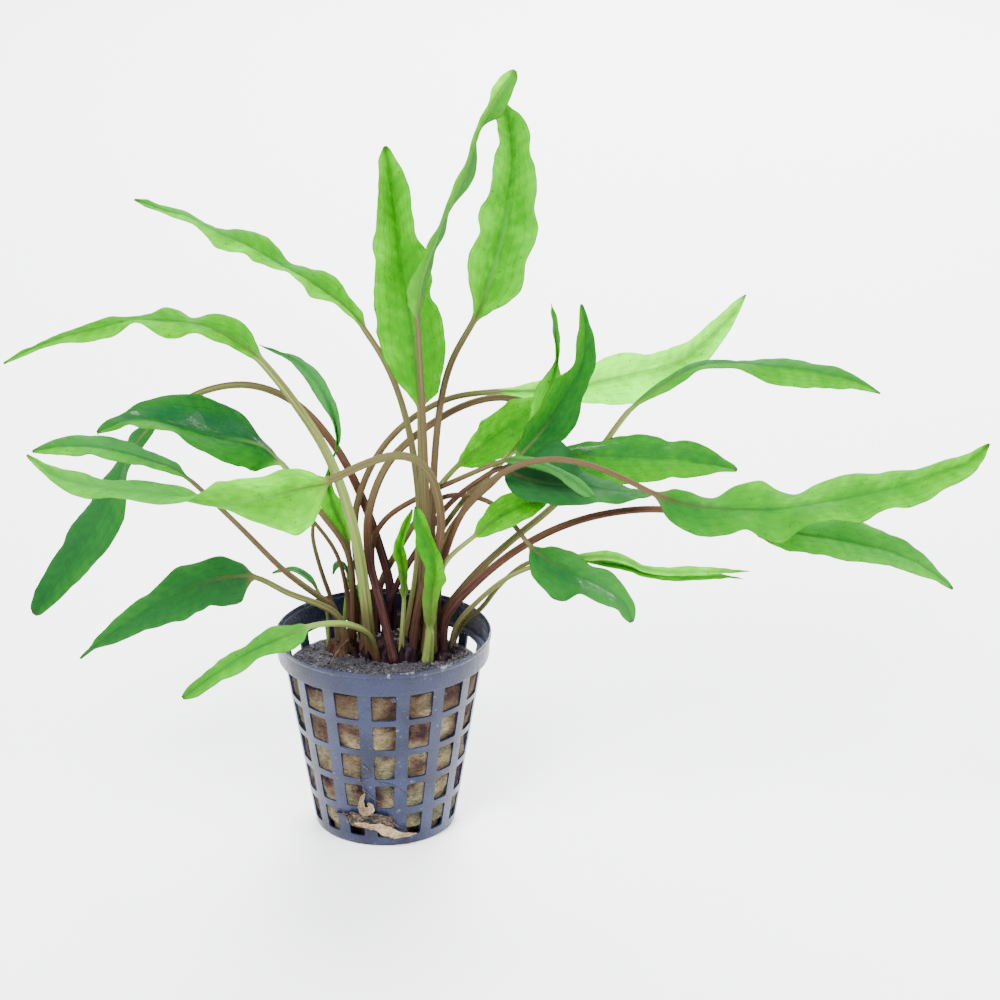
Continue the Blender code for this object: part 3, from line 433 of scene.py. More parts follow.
# %% The leaves on the left
LEFT_LEAVES = {
    "leaf_left_high": dict(
        stalk=[(5.0, 47.8, 7.2), (8.2, 66.0, 8.4), (9.2, 82.0, 9.0), (7.6, 98.0, 10.0),
               (4.6, 111.0, 12.6), (0.6, 121.0, 16.6), (-4.6, 129.3, 21.0)],
        blade=[(-9, 134.6, 23.9), (-14.5, 139, 26.9), (-20, 142.6, 29.7), (-26, 145.8, 32.2),
               (-31, 149, 34.3), (-36, 151.5, 35.8), (-41, 153.8, 37.3), (-46, 156, 38.6),
               (-50, 158.2, 39.8), (-56, 159.8, 40.8), (-63.2, 162.5, 42.0)],
        seen=([0.4, 0.9, 1.2, 2.4, 3.4, 1.5, 1.1, 1.2, 2.0, 3.1, 2.2, 3.1, 3.9, 2.1, 0.7, 1.0, 1.0,
               0.8, 0.7],
              [-2.4, -2.4, -3.2, -4.5, -4.5, -3.0, -1.9, -2.3, -3.3, -4.4, -4.1, -2.8, -1.5, -0.9,
               -0.7, -0.9, -1.1, -1.3, -1.3]),
        lean=(-1, 1), tip=0.7, width=12.0, widest=0.36, stem=(2.2, 1.5), ruffle=(0.3, 6.0),
        tone=(0.88, 0.9, 0.9, 0.88), sides=(0.05, -0.07), painted_sheen=(0.0, 0.05, 0.2),
        stalk_tone=(0.6, 0.26, 0.3, 0.42, 0.42, 0.38), wet=0.0),
    "leaf_left_long": dict(
        stalk=[(-2.8, 46.8, 4.2), (-4.4, 60.0, 2.0), (-7.2, 78.0, -0.5), (-13.4, 96.5, -3.0),
               (-22.0, 110.5, -5.0), (-30.6, 121.3, -6.0)],
        blade=[(-36, 126, -6.7), (-41, 128.8, -7.4), (-46, 130.6, -8.0), (-52, 131.6, -8.8),
               (-57, 131.8, -9.3), (-62, 132, -9.9), (-67, 131.2, -10.4), (-73, 129.6, -11.0),
               (-80, 127.8, -11.6), (-88, 125, -12.0), (-96.3, 121, -12.0)],
        seen=([1.5, 2.2, 2.4, 2.5, 2.3, 2.9, 4.3, 3.8, 2.2, 0.9, 1.8, 3.1, 2.8, 2.2, 1.6, 1.3, 1.0,
               0.6, 0.5],
              [-2.0, -3.9, -5.0, -4.6, -3.2, -1.7, -2.9, -3.2, -1.5, -1.1, -1.5, -2.2, -2.1, -1.3,
               -1.2, -1.2, -1.0, -0.8, -0.5]),
        lean=(-1, 1), tip=0.8, width=12.0, widest=0.36, stem=(3.2, 2.0), ruffle=(0.3, 6.0),
        tone=(0.84, 0.86, 0.86, 0.84), sides=(0.05, -0.07), painted_sheen=(0.1, 0.0, 0.0, 0.0, 0.1),
        stalk_tone=(0.75, 0.16, 0.13, 0.16, 0.2, 0.2), wet=0.0),
    "leaf_left_hanging": dict(
        stalk=[(-4.8, 49.0, 10.8), (-6.4, 58.0, 10.4), (-7.8, 66.0, 9.0), (-8.8, 74.0, 7.0)],
        blade=[(-10.2, 79.5, 6.0), (-13.4, 87.0, 4.8), (-13.4, 94.0, 4.0), (-11.8, 101.0, 4.0),
               (-12.8, 108.0, 4.6), (-16.4, 115.5, 6.0), (-22.0, 121.6, 7.0), (-31.7, 125.8, 8.0)],
        seen=([1.8, 2.6, 3.0, 1.6, 0.5, 0.3, 0.6, 1.1, 1.6, 2.0, 1.8, 1.0, 0.6],
              [-1.6, -2.4, -2.2, -1.2, -0.5, -0.4, -0.9, -1.1, -1.6, -2.0, -1.8, -1.0, -0.5]),
        lean=(-1, -1), tip=0.9, width=4.2, widest=0.5, stem=(1.7, 1.2), ruffle=(0.5, 3.0),
        tone=(0.95, 0.9, 0.5, 0.48, 0.5), sides=(0.0, 0.0), painted_sheen=(0.0, 0.0, 0.4, 0.4),
        stalk_tone=(0.6, 0.5, 0.4), wet=0.0),
    "leaf_left_drooping": dict(
        stalk=[(2.6, 48.8, 10.2), (1.8, 64.0, 10.6), (-1.4, 76.0, 11.2), (-5.8, 88.0, 12.6),
               (-12.0, 99.8, 14.4), (-21.6, 110.6, 15.6), (-33.6, 115.6, 16.0),
               (-46.0, 113.9, 16.0), (-56.0, 107.6, 14.0)],
        blade=[(-61, 102.6, 13.1), (-64.5, 97, 12.3), (-67.3, 91, 11.6), (-70, 86, 10.9),
               (-73.5, 80, 9.8), (-78, 73, 8.5), (-83, 65, 7.0), (-88.3, 57.3, 6.0)],
        seen=([1.3, 1.4, 1.2, 1.6, 3.4, 5.5, 6.2, 6.3, 5.9, 5.3, 4.1, 3.0, 2.2],
              [-1.6, -2.5, -1.2, -2.5, -4.0, -4.0, -4.1, -4.4, -4.3, -4.3, -4.2, -3.7, -3.2]),
        lean=(-1, 1), tip=0.4, width=15.0, widest=0.5, stem=(2.6, 1.6), ruffle=(0.4, 3.0),
        tone=(0.4, 0.32, 0.28), sides=(0.06, -0.05), painted_sheen=(0.15, 0.0),
        stalk_tone=(0.98, 0.88, 0.8, 0.62, 0.35, 0.2), wet=0.0),
    "leaf_left_glossy": dict(
        stalk=[(-7.8, 48.2, 8.6), (-7.6, 60.0, 7.4), (-9.0, 73.4, 5.0), (-15.6, 83.0, 2.6),
               (-22.2, 91.6, 1.0), (-25.6, 95.6, 0.1)],
        blade=[(-29.5, 99.6, -0.9), (-34, 101.2, -2.0), (-41, 102.3, -3.8), (-50, 104.2, -6.2),
               (-58, 106.2, -8.4), (-65.5, 106.2, -10.3), (-72.6, 103.3, -12.0)],
        seen=([6.4, 6.9, 6.8, 6.3, 5.4, 4.1, 3.0, 2.2, 1.6, 1.3, 1.3, 1.3, 0.7],
              [-0.2, -1.0, -4.8, -7.5, -8.4, -8.9, -9.3, -9.1, -8.3, -6.3, -4.3, -2.8, -1.9]),
        lean=(-1, 1), tip=0.5, width=20.0, widest=0.45, stem=(1.9, 1.4), ruffle=(0.6, 3.0),
        tone=(0.28, 0.3, 0.36, 0.5), sides=(0.2, -0.02), painted_sheen=(0.0, 0.0),
        stalk_tone=(0.8, 0.6, 0.5, 0.1), wet=0.9),
    "leaf_left_turned": dict(
        stalk=[(7.2, 46.3, 3.0), (9.0, 60.0, 0.2), (12.2, 70.0, -1.2), (14.6, 80.0, -4.0),
               (12.9, 90.6, -8.4), (8.6, 96.4, -12.0), (2.6, 97.7, -16.0), (-5.0, 95.5, -20.0),
               (-13.4, 91.6, -23.6)],
        blade=[(-19, 90.3, -25.6), (-25, 88.8, -27.4), (-31, 87.3, -28.8), (-37, 86, -30.0),
               (-42, 85.4, -31.0), (-48, 86.4, -31.6), (-55, 87.6, -32.2), (-64, 88.8, -33.0),
               (-73, 89.8, -33.7), (-80, 91.2, -34.0), (-85.5, 94.2, -34.0), (-90.4, 98, -34.0)],
        seen=([-2.6, -4.9, -6.0, -5.5, -5.7, -6.4, -6.0, -4.1, -1.0, 1.3, 2.5, 2.7, 2.9, 2.9, 2.8,
               2.6, 2.4, 2.0, 1.1],
              [6.9, 10.2, 11.8, 9.5, 6.9, 4.3, 1.9, -0.5, -1.9, -2.3, -2.5, -2.7, -2.9, -2.8, -2.7,
               -2.6, -2.4, -2.1, -1.2]),
        lean=(-1, 1), tip=0.6, width=23.0, widest=0.18, stem=(2.4, 2.0), ruffle=(0.7, 3.5),
        pale_rib=0.4, tone=(1.0, 0.98, 0.9, 0.74, 0.78, 0.9), sides=(0.06, 0.0),
        painted_sheen=(0.0, 0.0, 0.1, 0.3, 0.25, 0.1),
        stalk_tone=(0.92, 0.78, 0.7, 0.5, 0.4, 0.45), wet=0.0),
    "leaf_left_slim": dict(
        stalk=[(-11.0, 48.6, 9.6), (-12.0, 58.4, 8.0), (-15.6, 61.6, 5.6), (-20.4, 65.0, 1.0),
               (-26.4, 69.8, -5.0), (-37.0, 80.4, -13.0), (-48.2, 91, -16.5)],
        blade=[(-53, 94.4, -17.4), (-58, 96, -18.1), (-64, 98, -18.7), (-70, 99.3, -19.4),
               (-76, 100, -19.9), (-83, 99.9, -20.0), (-89, 98.7, -20.0)],
        seen=([0.7, 1.3, 1.6, 1.7, 2.0, 2.3, 2.4, 2.2, 2.1, 2.3, 2.2, 1.8, 1.2],
              [-0.5, -1.4, -1.7, -2.3, -2.7, -3.0, -3.1, -3.2, -3.0, -2.8, -2.5, -1.7, -1.0]),
        lean=(-1, 1), tip=0.6, width=8.6, widest=0.5, stem=(1.9, 1.2), ruffle=(0.3, 3.0),
        tone=(0.54, 0.54, 0.66), sides=(0.22, -0.08), painted_sheen=(0.25, 0.3, 0.1),
        stalk_tone=(0.62, 0.45, 0.52, 0.42), wet=0.0),
    "leaf_left_low": dict(
        stalk=[(-9.0, 47.0, 5.4), (-11.0, 56.4, 3.4), (-16.0, 60.0, 1.5), (-24.0, 62.9, -1.0),
               (-32.4, 67.0, -2.0)],
        blade=[(-40.0, 66.8, -3.0), (-48.0, 64.6, -4.0), (-57.0, 59.8, -5.0), (-67.0, 53.6, -6.0),
               (-76.9, 46.3, -7.0)],
        seen=([6.6, 7.1, 6.7, 6.1, 6.1, 6.8, 5.7, 4.4, 3.5, 2.9, 2.2, 1.2, 0.4],
              [-3.4, -5.3, -5.7, -5.9, -5.9, -5.1, -4.5, -3.8, -3.2, -2.7, -2.1, -1.5, -0.9]),
        lean=(-1, 1), tip=0.8, width=15.4, widest=0.3, stem=(2.0, 1.4), ruffle=(0.5, 3.0),
        tone=(0.23, 0.31, 0.44), sides=(-0.02, 0.06), painted_sheen=(0.1, 0.05),
        stalk_tone=(0.8, 0.4, 0.3, 0.35), wet=0.0),
    "leaf_front_left": dict(
        stalk=[(-1.5, 45.3, 0.8), (-3.2, 51.8, -3.6), (-7.4, 54.6, -9.0), (-12.6, 55.3, -14.6),
               (-18.8, 54.5, -20.0)],
        blade=[(-25.0, 52.0, -24.0), (-32.0, 48.8, -27.0), (-39.0, 44.8, -30.0),
               (-51.0, 36.3, -34.0)],
        seen=([3.2, 3.9, 3.5, 3.0, 2.6, 2.9, 3.0, 2.8, 2.5, 2.1, 1.7],
              [-1.9, -2.8, -3.4, -3.3, -2.7, -2.3, -2.2, -2.2, -2.3, -2.1, -1.5]),
        lean=(-1, 1), tip=0.45, width=8.6, widest=0.25, stem=(2.0, 1.4), ruffle=(0.4, 3.0),
        tone=(0.8, 0.8, 0.76), sides=(0.03, -0.03), painted_sheen=(0.2, 0.1),
        stalk_tone=(0.85, 0.3, 0.12, 0.05), wet=0.0),
}
print("the leaves on the left:", len(LEFT_LEAVES))

# %% The leaves on the right
RIGHT_LEAVES = {
    "leaf_right_pale": dict(
        stalk=[(-5.2, 47.7, 7.4), (-4.8, 60.0, 7.6), (-7.2, 74.6, 8.2), (-6.6, 86.0, 9.6),
               (-1.6, 97.8, 13.0), (6.2, 106.4, 17.0), (16.6, 112.2, 22.0), (28.0, 113.9, 26.6)],
        blade=[(35, 114.2, 29.1), (42, 114.5, 31.6), (50, 115.4, 33.8), (57, 117, 35.7),
               (63, 118.4, 37.2), (70, 120, 38.8), (76, 122.4, 40.0), (82, 127, 41.3),
               (88, 133.2, 42.3), (91.8, 138.6, 43.0)],
        seen=([-1.4, -2.0, -2.7, -3.6, -4.5, -5.7, -6.7, -7.2, -6.6, -5.6, -4.5, -3.8, -3.2, -2.4,
               -1.2],
              [1.0, 2.1, 3.1, 3.8, 4.5, 4.8, 5.9, 5.8, 4.6, 3.7, 3.5, 3.3, 3.0, 2.4, 1.7]),
        lean=(1, 1), tip=0.9, width=15.4, widest=0.5, stem=(2.0, 1.5), ruffle=(0.5, 3.0),
        pale_rib=0.8, tone=(1.1, 1.2, 1.08), sides=(0.0, 0.0), painted_sheen=(0.1, 0.1),
        stalk_tone=(0.8, 0.55, 0.5, 0.25), wet=0.0),
    "leaf_right_wet": dict(
        stalk=[(2.7, 45.4, -1.0), (-0.7, 60.0, 1.4), (-3.6, 71.5, 4.0), (-3.8, 83.0, 6.2),
               (0.6, 95.0, 10.4), (8.6, 103.2, 14.8), (20.0, 110.3, 18.6), (31.0, 112.4, 21.4),
               (41.0, 108.4, 21.0), (42.6, 98.4, 15.7)],
        blade=[(50, 98, 12.9), (58, 97.6, 9.2), (66, 97.2, 7.0), (74, 96.8, 5.7), (82, 95.6, 4.7),
               (89.6, 93.9, 4.0)],
        seen=([2.2, 2.5, 3.3, 4.2, 5.1, 5.5, 5.7, 5.4, 4.7, 4.8, 4.5, 3.7, 2.3],
              [-4.1, -6.0, -6.8, -7.2, -7.4, -7.0, -6.3, -5.7, -5.2, -4.5, -3.5, -2.4, -1.2]),
        lean=(1, -1), tip=0.5, width=15.4, widest=0.36, stem=(2.4, 1.5), ruffle=(0.4, 3.0),
        tone=(0.52, 0.63, 0.64), sides=(-0.06, 0.08), painted_sheen=(0.0, 0.05),
        stalk_tone=(0.93, 0.9, 0.85, 0.6, 0.5, 0.5, 0.5, 0.5, 0.45), wet=-0.3),
    "leaf_right_bright": dict(
        stalk=[(-1.8, 49.4, 13.4), (-1.2, 64.0, 14.0), (5.6, 77.0, 15.4), (13.4, 89.0, 16.0),
               (18.8, 95.2, 15.6)],
        blade=[(23, 98.6, 15.5), (28, 102.4, 15.4), (33, 106, 15.4), (38, 109, 15.5),
               (46, 111.8, 15.7)],
        seen=([1.6, 2.9, 3.8, 4.4, 4.9, 5.3, 5.5, 5.4, 5.1, 4.3, 3.5, 2.6, 1.4],
              [-2.8, -4.1, -4.8, -5.3, -6.0, -6.6, -7.2, -7.3, -7.2, -7.0, -6.0, -4.7, -2.8]),
        lean=(1, -1), tip=0.6, width=14.6, widest=0.36, stem=(2.0, 1.4), ruffle=(0.5, 3.0),
        tone=(0.84, 0.84, 0.74), sides=(0.05, -0.05), painted_sheen=(0.0, 0.0),
        stalk_tone=(0.9, 0.6, 0.4, 0.1), wet=0.0),
    "leaf_right_upright": dict(
        stalk=[(8.0, 49.4, 13.6), (10.4, 62.0, 12.5), (15.4, 76.5, 8.5), (21.8, 85.4, 6.8),
               (28.0, 91.2, 6.0), (33.4, 97.0, 5.5)],
        blade=[(37.5, 101.2, 5.4), (41, 105.6, 5.6), (44.5, 110.6, 5.8), (47.5, 115.6, 6.0),
               (50, 121, 6.6), (51, 127, 7.4), (50.8, 132, 8.3), (50, 136.2, 9.0)],
        seen=([2.0, 3.0, 3.6, 3.9, 4.1, 4.1, 4.0, 3.3, 1.9, 1.6, 1.8, 2.0, 1.5],
              [-2.6, -3.9, -5.0, -6.3, -6.6, -5.5, -3.7, -3.9, -4.0, -3.3, -2.2, -1.6, -1.1]),
        lean=(-1, 1), tip=0.7, width=13.0, widest=0.34, stem=(1.8, 1.4), ruffle=(0.5, 3.0),
        tone=(0.38, 0.51, 0.57), sides=(0.1, -0.04), painted_sheen=(0.0, 0.0),
        stalk_tone=(0.7, 0.4, 0.2), wet=0.0),
    "leaf_right_pointed": dict(
        stalk=[(5.0, 49.2, 13.2), (7.4, 62.0, 14.0), (13.0, 76.0, 11.6), (20.0, 86.2, 9.8),
               (24.8, 91.0, 9.4), (31.4, 97.6, 9.0)],
        blade=[(35, 101.6, 9.2), (38, 106, 9.5), (40.5, 110, 9.7), (42.3, 114.6, 10.0),
               (43.5, 119, 10.3), (44.1, 122.6, 10.6), (43.8, 127, 11.0), (43.3, 131.6, 11.5),
               (42.3, 136.4, 12.0)],
        seen=([0.9, 1.1, 1.2, 2.0, 3.2, 3.6, 3.4, 1.8, 0.6, 0.6, 0.8, 0.8, 0.5],
              [-1.6, -1.2, -0.9, -0.9, -1.4, -2.1, -2.2, -1.7, -0.5, -0.7, -0.8, -0.7, -0.7]),
        lean=(-1, -1), tip=1.0, width=3.8, widest=0.36, stem=(1.7, 1.3), ruffle=(0.3, 3.0),
        tone=(0.9, 0.97, 0.8, 0.7), sides=(0.04, 0.0), painted_sheen=(0.1, 0.2),
        stalk_tone=(0.7, 0.4, 0.25), wet=0.0),
    "leaf_right_wavy": dict(
        stalk=[(13.2, 48.6, 10.6), (14.0, 66.0, 6.0), (18.4, 80.6, -1.6), (25.0, 89.4, -8.6),
               (33.2, 94.9, -15.0), (42.6, 96.8, -20.0), (52.0, 95.4, -23.0), (60.6, 92.0, -25.0),
               (68.2, 88.2, -27.0)],
        blade=[(74, 86.2, -27.5), (80, 84.9, -28.2), (88, 84.1, -29.4), (96, 84, -30.6),
               (104, 84.7, -31.8), (112, 86, -33.0), (120, 87.4, -34.2), (128, 89.3, -35.5),
               (136, 91.6, -36.9), (143, 94, -38.0), (148, 96.2, -38.9), (153.3, 100.8, -40.0)],
        seen=([2.9, 3.5, 2.3, 3.1, 5.6, 7.0, 7.2, 5.0, 3.6, 4.0, 5.4, 6.0, 5.8, 5.2, 4.5, 3.7, 3.2,
               2.8, 2.6, 2.3, 1.5],
              [-4.3, -6.3, -7.3, -7.4, -6.3, -4.8, -7.3, -8.8, -6.4, -4.9, -4.7, -6.0, -6.3, -5.4,
               -5.1, -5.9, -5.6, -4.5, -3.9, -3.3, -2.2]),
        lean=(1, -1), tip=0.7, width=17.0, widest=0.36, stem=(2.1, 1.35), ruffle=(0.3, 7.0),
        tone=(0.5, 0.78, 0.85, 0.88), sides=(0.06, -0.02), painted_sheen=(0.0, 0.12, 0.1, 0.0),
        stalk_tone=(0.98, 0.74, 0.6, 0.55, 0.56), wet=0.0),
    "leaf_right_far": dict(
        stalk=[(12.6, 47.0, 6.2), (13.8, 55.6, 5.2), (22.0, 66.6, 5.0), (32.0, 76.0, 5.4),
               (43.6, 85.6, 9.0), (52.6, 96.4, 15.0), (61.6, 108.6, 19.2)],
        blade=[(67, 113, 20.8), (72, 116.2, 22.3), (77, 119.2, 23.5), (83, 120.9, 24.6),
               (90, 121, 25.6), (96, 120.6, 26.2), (102, 120, 26.7), (108, 119.2, 27.3),
               (115, 117.8, 27.9), (121, 115.8, 28.5), (125.8, 113.4, 29.0)],
        seen=([0.5, 0.8, 1.0, 1.0, 1.0, 0.7, 0.7, 1.0, 1.4, 2.3, 2.4, 2.0, 2.0, 1.6, 0.7],
              [-0.9, -1.3, -1.8, -1.7, -0.8, -0.9, -1.3, -2.9, -4.2, -4.7, -4.6, -4.1, -3.3, -2.3,
               -1.2]),
        lean=(1, -1), tip=0.8, width=10.0, widest=0.6, stem=(2.2, 1.5), ruffle=(0.4, 3.0),
        tone=(0.7, 0.5, 0.66, 0.74), sides=(-0.06, 0.16), painted_sheen=(0.1, 0.1),
        stalk_tone=(0.9, 0.45, 0.3, 0.18), wet=0.0),
    "leaf_right_low": dict(
        stalk=[(15.0, 46.6, 4.4), (16.0, 57.0, 3.0), (23.6, 65.8, 0.6), (33.0, 73.4, -1.8),
               (44.0, 79.4, -6.0), (56.0, 83.0, -11.0), (69.0, 84.2, -15.0), (82.0, 82.6, -17.4),
               (92.0, 80.4, -19.0)],
        blade=[(100, 78.8, -19.7), (108, 77.4, -20.5), (117, 76, -21.6), (125, 74.2, -23.0),
               (132, 71.8, -24.3), (139, 68, -25.8), (144.2, 63.9, -27.0)],
        seen=([3.7, 4.1, 3.9, 3.9, 4.2, 4.6, 5.3, 5.8, 5.3, 4.6, 4.0, 3.3, 2.7, 1.9, 1.1],
              [-2.8, -3.6, -4.6, -4.8, -4.5, -4.1, -4.4, -4.6, -4.6, -4.2, -3.3, -2.7, -2.3, -1.8,
               -1.2]),
        lean=(1, -1), tip=0.6, width=13.0, widest=0.4, stem=(2.2, 1.6), ruffle=(0.5, 3.0),
        tone=(0.86, 0.86, 0.8), sides=(-0.05, 0.04), painted_sheen=(0.25, 0.4, 0.3),
        stalk_tone=(0.92, 0.76, 0.72, 0.68), wet=0.0),
    "leaf_right_dark": dict(
        stalk=[(-0.4, 47.0, 6.8), (1.0, 58.4, 7.4), (4.0, 66.4, 8.6), (9.4, 75.4, 12.4),
               (12.6, 80.2, 10.2), (15.6, 84.4, 5.4), (19.6, 88.2, 1.0), (24.6, 91.8, -3.4),
               (29.8, 94.6, -6.5)],
        blade=[(34, 92.6, -8.0), (39, 91, -9.4), (45, 90, -10.8), (52, 89.2, -12.4),
               (60, 88.5, -13.8), (68.6, 88.1, -15.0)],
        seen=([3.9, 5.9, 8.7, 10.7, 11.4, 9.5, 5.7, 4.4, 3.5, 2.6, 1.8, 1.3, 0.9],
              [-2.9, -4.8, -5.6, -5.2, -4.9, -4.5, -4.2, -3.9, -3.5, -3.1, -2.7, -2.2, -1.5]),
        lean=(1, -1), tip=0.7, width=18.0, widest=0.36, stem=(1.9, 1.3), ruffle=(0.4, 2.5),
        # Its low tone is partly painted shade from the upright leaf that lies over it.
        tone=(0.1, 0.2, 0.42), sides=(0.0, 0.04), painted_sheen=(0.0, 0.1),
        stalk_tone=(1.0, 0.92, 0.8, 0.7), wet=0.0),
    "leaf_right_curled": dict(
        stalk=[(-1.2, 48.2, 10.0), (-2.0, 62.0, 9.2), (-3.0, 74.5, 8.2), (0.6, 81.8, 10.2),
               (8.6, 87.0, 13.0), (19.0, 91.8, 3.6), (30.2, 96.4, -9.6)],
        blade=[(35, 96.4, -11.6), (40, 95.4, -13.2), (44.5, 93.4, -14.7), (48.4, 91, -16.0),
               (51.4, 88.6, -16.9), (53.8, 86.6, -17.6)],
        seen=([0.7, 1.1, 1.2, 1.1, 1.1, 1.2, 1.3, 1.4, 1.3],
              [-1.3, -1.3, -1.3, -1.3, -1.4, -1.5, -1.7, -1.8, -1.6]),
        lean=(1, -1), tip=0.35, width=4.4, widest=0.5, stem=(1.7, 1.2), ruffle=(0.2, 2.0),
        tone=(0.62, 0.6), sides=(0.0, 0.0), painted_sheen=(0.1, 0.4, 0.4),
        stalk_tone=(0.95, 0.65, 0.4), wet=0.0),
    "leaf_right_under": dict(
        stalk=[(12.9, 45.9, 2.9), (12.8, 58.0, 2.2), (15.0, 69.8, -0.4), (22.8, 77.2, -4.0)],
        blade=[(28.0, 81.2, -5.0), (34.0, 84.6, -5.0), (46.0, 90.0, -4.0)],
        faces=[(-0.2, 0.6, 0.8), (-0.2, 0.5, 0.9), (-0.1, 0.6, 0.8)],
        trough=0.12, tip=0.8, width=9.4, widest=0.42, stem=(1.6, 1.2), ruffle=(0.3, 2.0),
        tone=(0.84, 0.84), sides=(0.0, 0.0), painted_sheen=(0.0, 0.0),
        stalk_tone=(0.5, 0.2, 0.15), wet=0.0),
    "leaf_right_front": dict(
        stalk=[(11.2, 50.3, 14.0), (10.0, 66.0, 17.0), (9.4, 78.0, 18.0), (13.0, 86.0, 14.0),
               (19.6, 87.8, 5.6), (27.6, 85.6, 1.0), (33.2, 79.9, -3.4), (37.0, 75.0, -8.0)],
        blade=[(42.0, 71.0, -12.0), (48.6, 67.4, -16.0), (55.0, 64.4, -20.0), (60.4, 60.8, -23.0),
               (62.9, 55.4, -26.0)],
        seen=([1.8, 2.9, 3.8, 4.3, 4.7, 4.8, 4.5, 4.2, 4.1, 4.1, 3.5, 2.9, 1.7],
              [-3.2, -5.3, -6.5, -7.1, -7.5, -6.8, -4.8, -4.1, -3.4, -3.0, -3.1, -2.9, -1.9]),
        lean=(1, -1), tip=0.5, width=16.0, widest=0.33, stem=(1.7, 1.2), ruffle=(0.8, 3.0),
        tone=(0.44, 0.46, 0.54), sides=(0.08, -0.08), painted_sheen=(0.0, 0.1, 0.3),
        stalk_tone=(0.95, 0.7, 0.5), wet=0.35),
    "leaf_right_folded": dict(
        stalk=[(16.8, 47.5, 6.6), (18.6, 55.0, 4.0), (24.4, 61.4, 1.4), (30.6, 66.4, -1.0),
               (37.0, 69.4, -3.0), (45.0, 71.6, -4.6)],
        blade=[(51.5, 72.1, -6.0), (57.0, 72.2, -7.2), (62.0, 71.0, -8.3), (66.0, 69.1, -9.2),
               (73.0, 68.3, -10.3), (82.0, 68.4, -11.5), (92.8, 68.5, -13.0)],
        seen=([0.9, 1.2, 1.5, 1.5, 1.1, 0.9, 1.0, 1.2, 1.4, 1.4, 1.2, 0.9, 0.5],
              [-0.9, -1.0, -1.1, -1.0, -0.9, -0.8, -0.9, -1.0, -1.0, -0.9, -0.8, -0.6, -0.4]),
        lean=(1, 1), tip=0.9, width=3.0, widest=0.35, stem=(1.5, 1.1), ruffle=(0.2, 2.0),
        pale_rib=0.7, tone=(0.95, 1.08, 1.1), sides=(0.0, 0.0), painted_sheen=(0.1, 0.2, 0.1),
        stalk_tone=(0.5, 0.3, 0.3), wet=0.0),
    "leaf_right_narrow": dict(
        stalk=[(17.0, 48.9, 10.2), (19.4, 54.4, 9.6), (24.8, 59.2, 7.6), (29.6, 65.2, 5.0),
               (36.4, 70.6, 2.4), (46.0, 72.0, 0.4)],
        blade=[(55.0, 70.8, -1.4), (62.0, 69.5, -2.6), (66.0, 68.0, -3.2), (72.0, 67.4, -4.0),
               (80.0, 67.0, -5.0), (86.0, 67.2, -5.8), (91.4, 66.5, -6.4)],
        seen=([0.8, 0.9, 1.0, 1.1, 1.0, 1.0, 1.0, 1.1, 1.2, 1.1, 0.9, 0.7, 0.4],
              [-0.6, -0.9, -1.0, -1.1, -1.0, -1.0, -1.0, -1.2, -1.2, -1.0, -0.8, -0.6, -0.4]),
        lean=(-1, -1), tip=0.9, width=3.0, widest=0.45, stem=(1.4, 1.1), ruffle=(0.2, 2.0),
        tone=(0.6, 0.84, 0.95), sides=(0.0, 0.0), painted_sheen=(0.15, 0.15),
        stalk_tone=(0.4, 0.3, 0.3), wet=0.0),
}
print("the leaves on the right:", len(RIGHT_LEAVES))

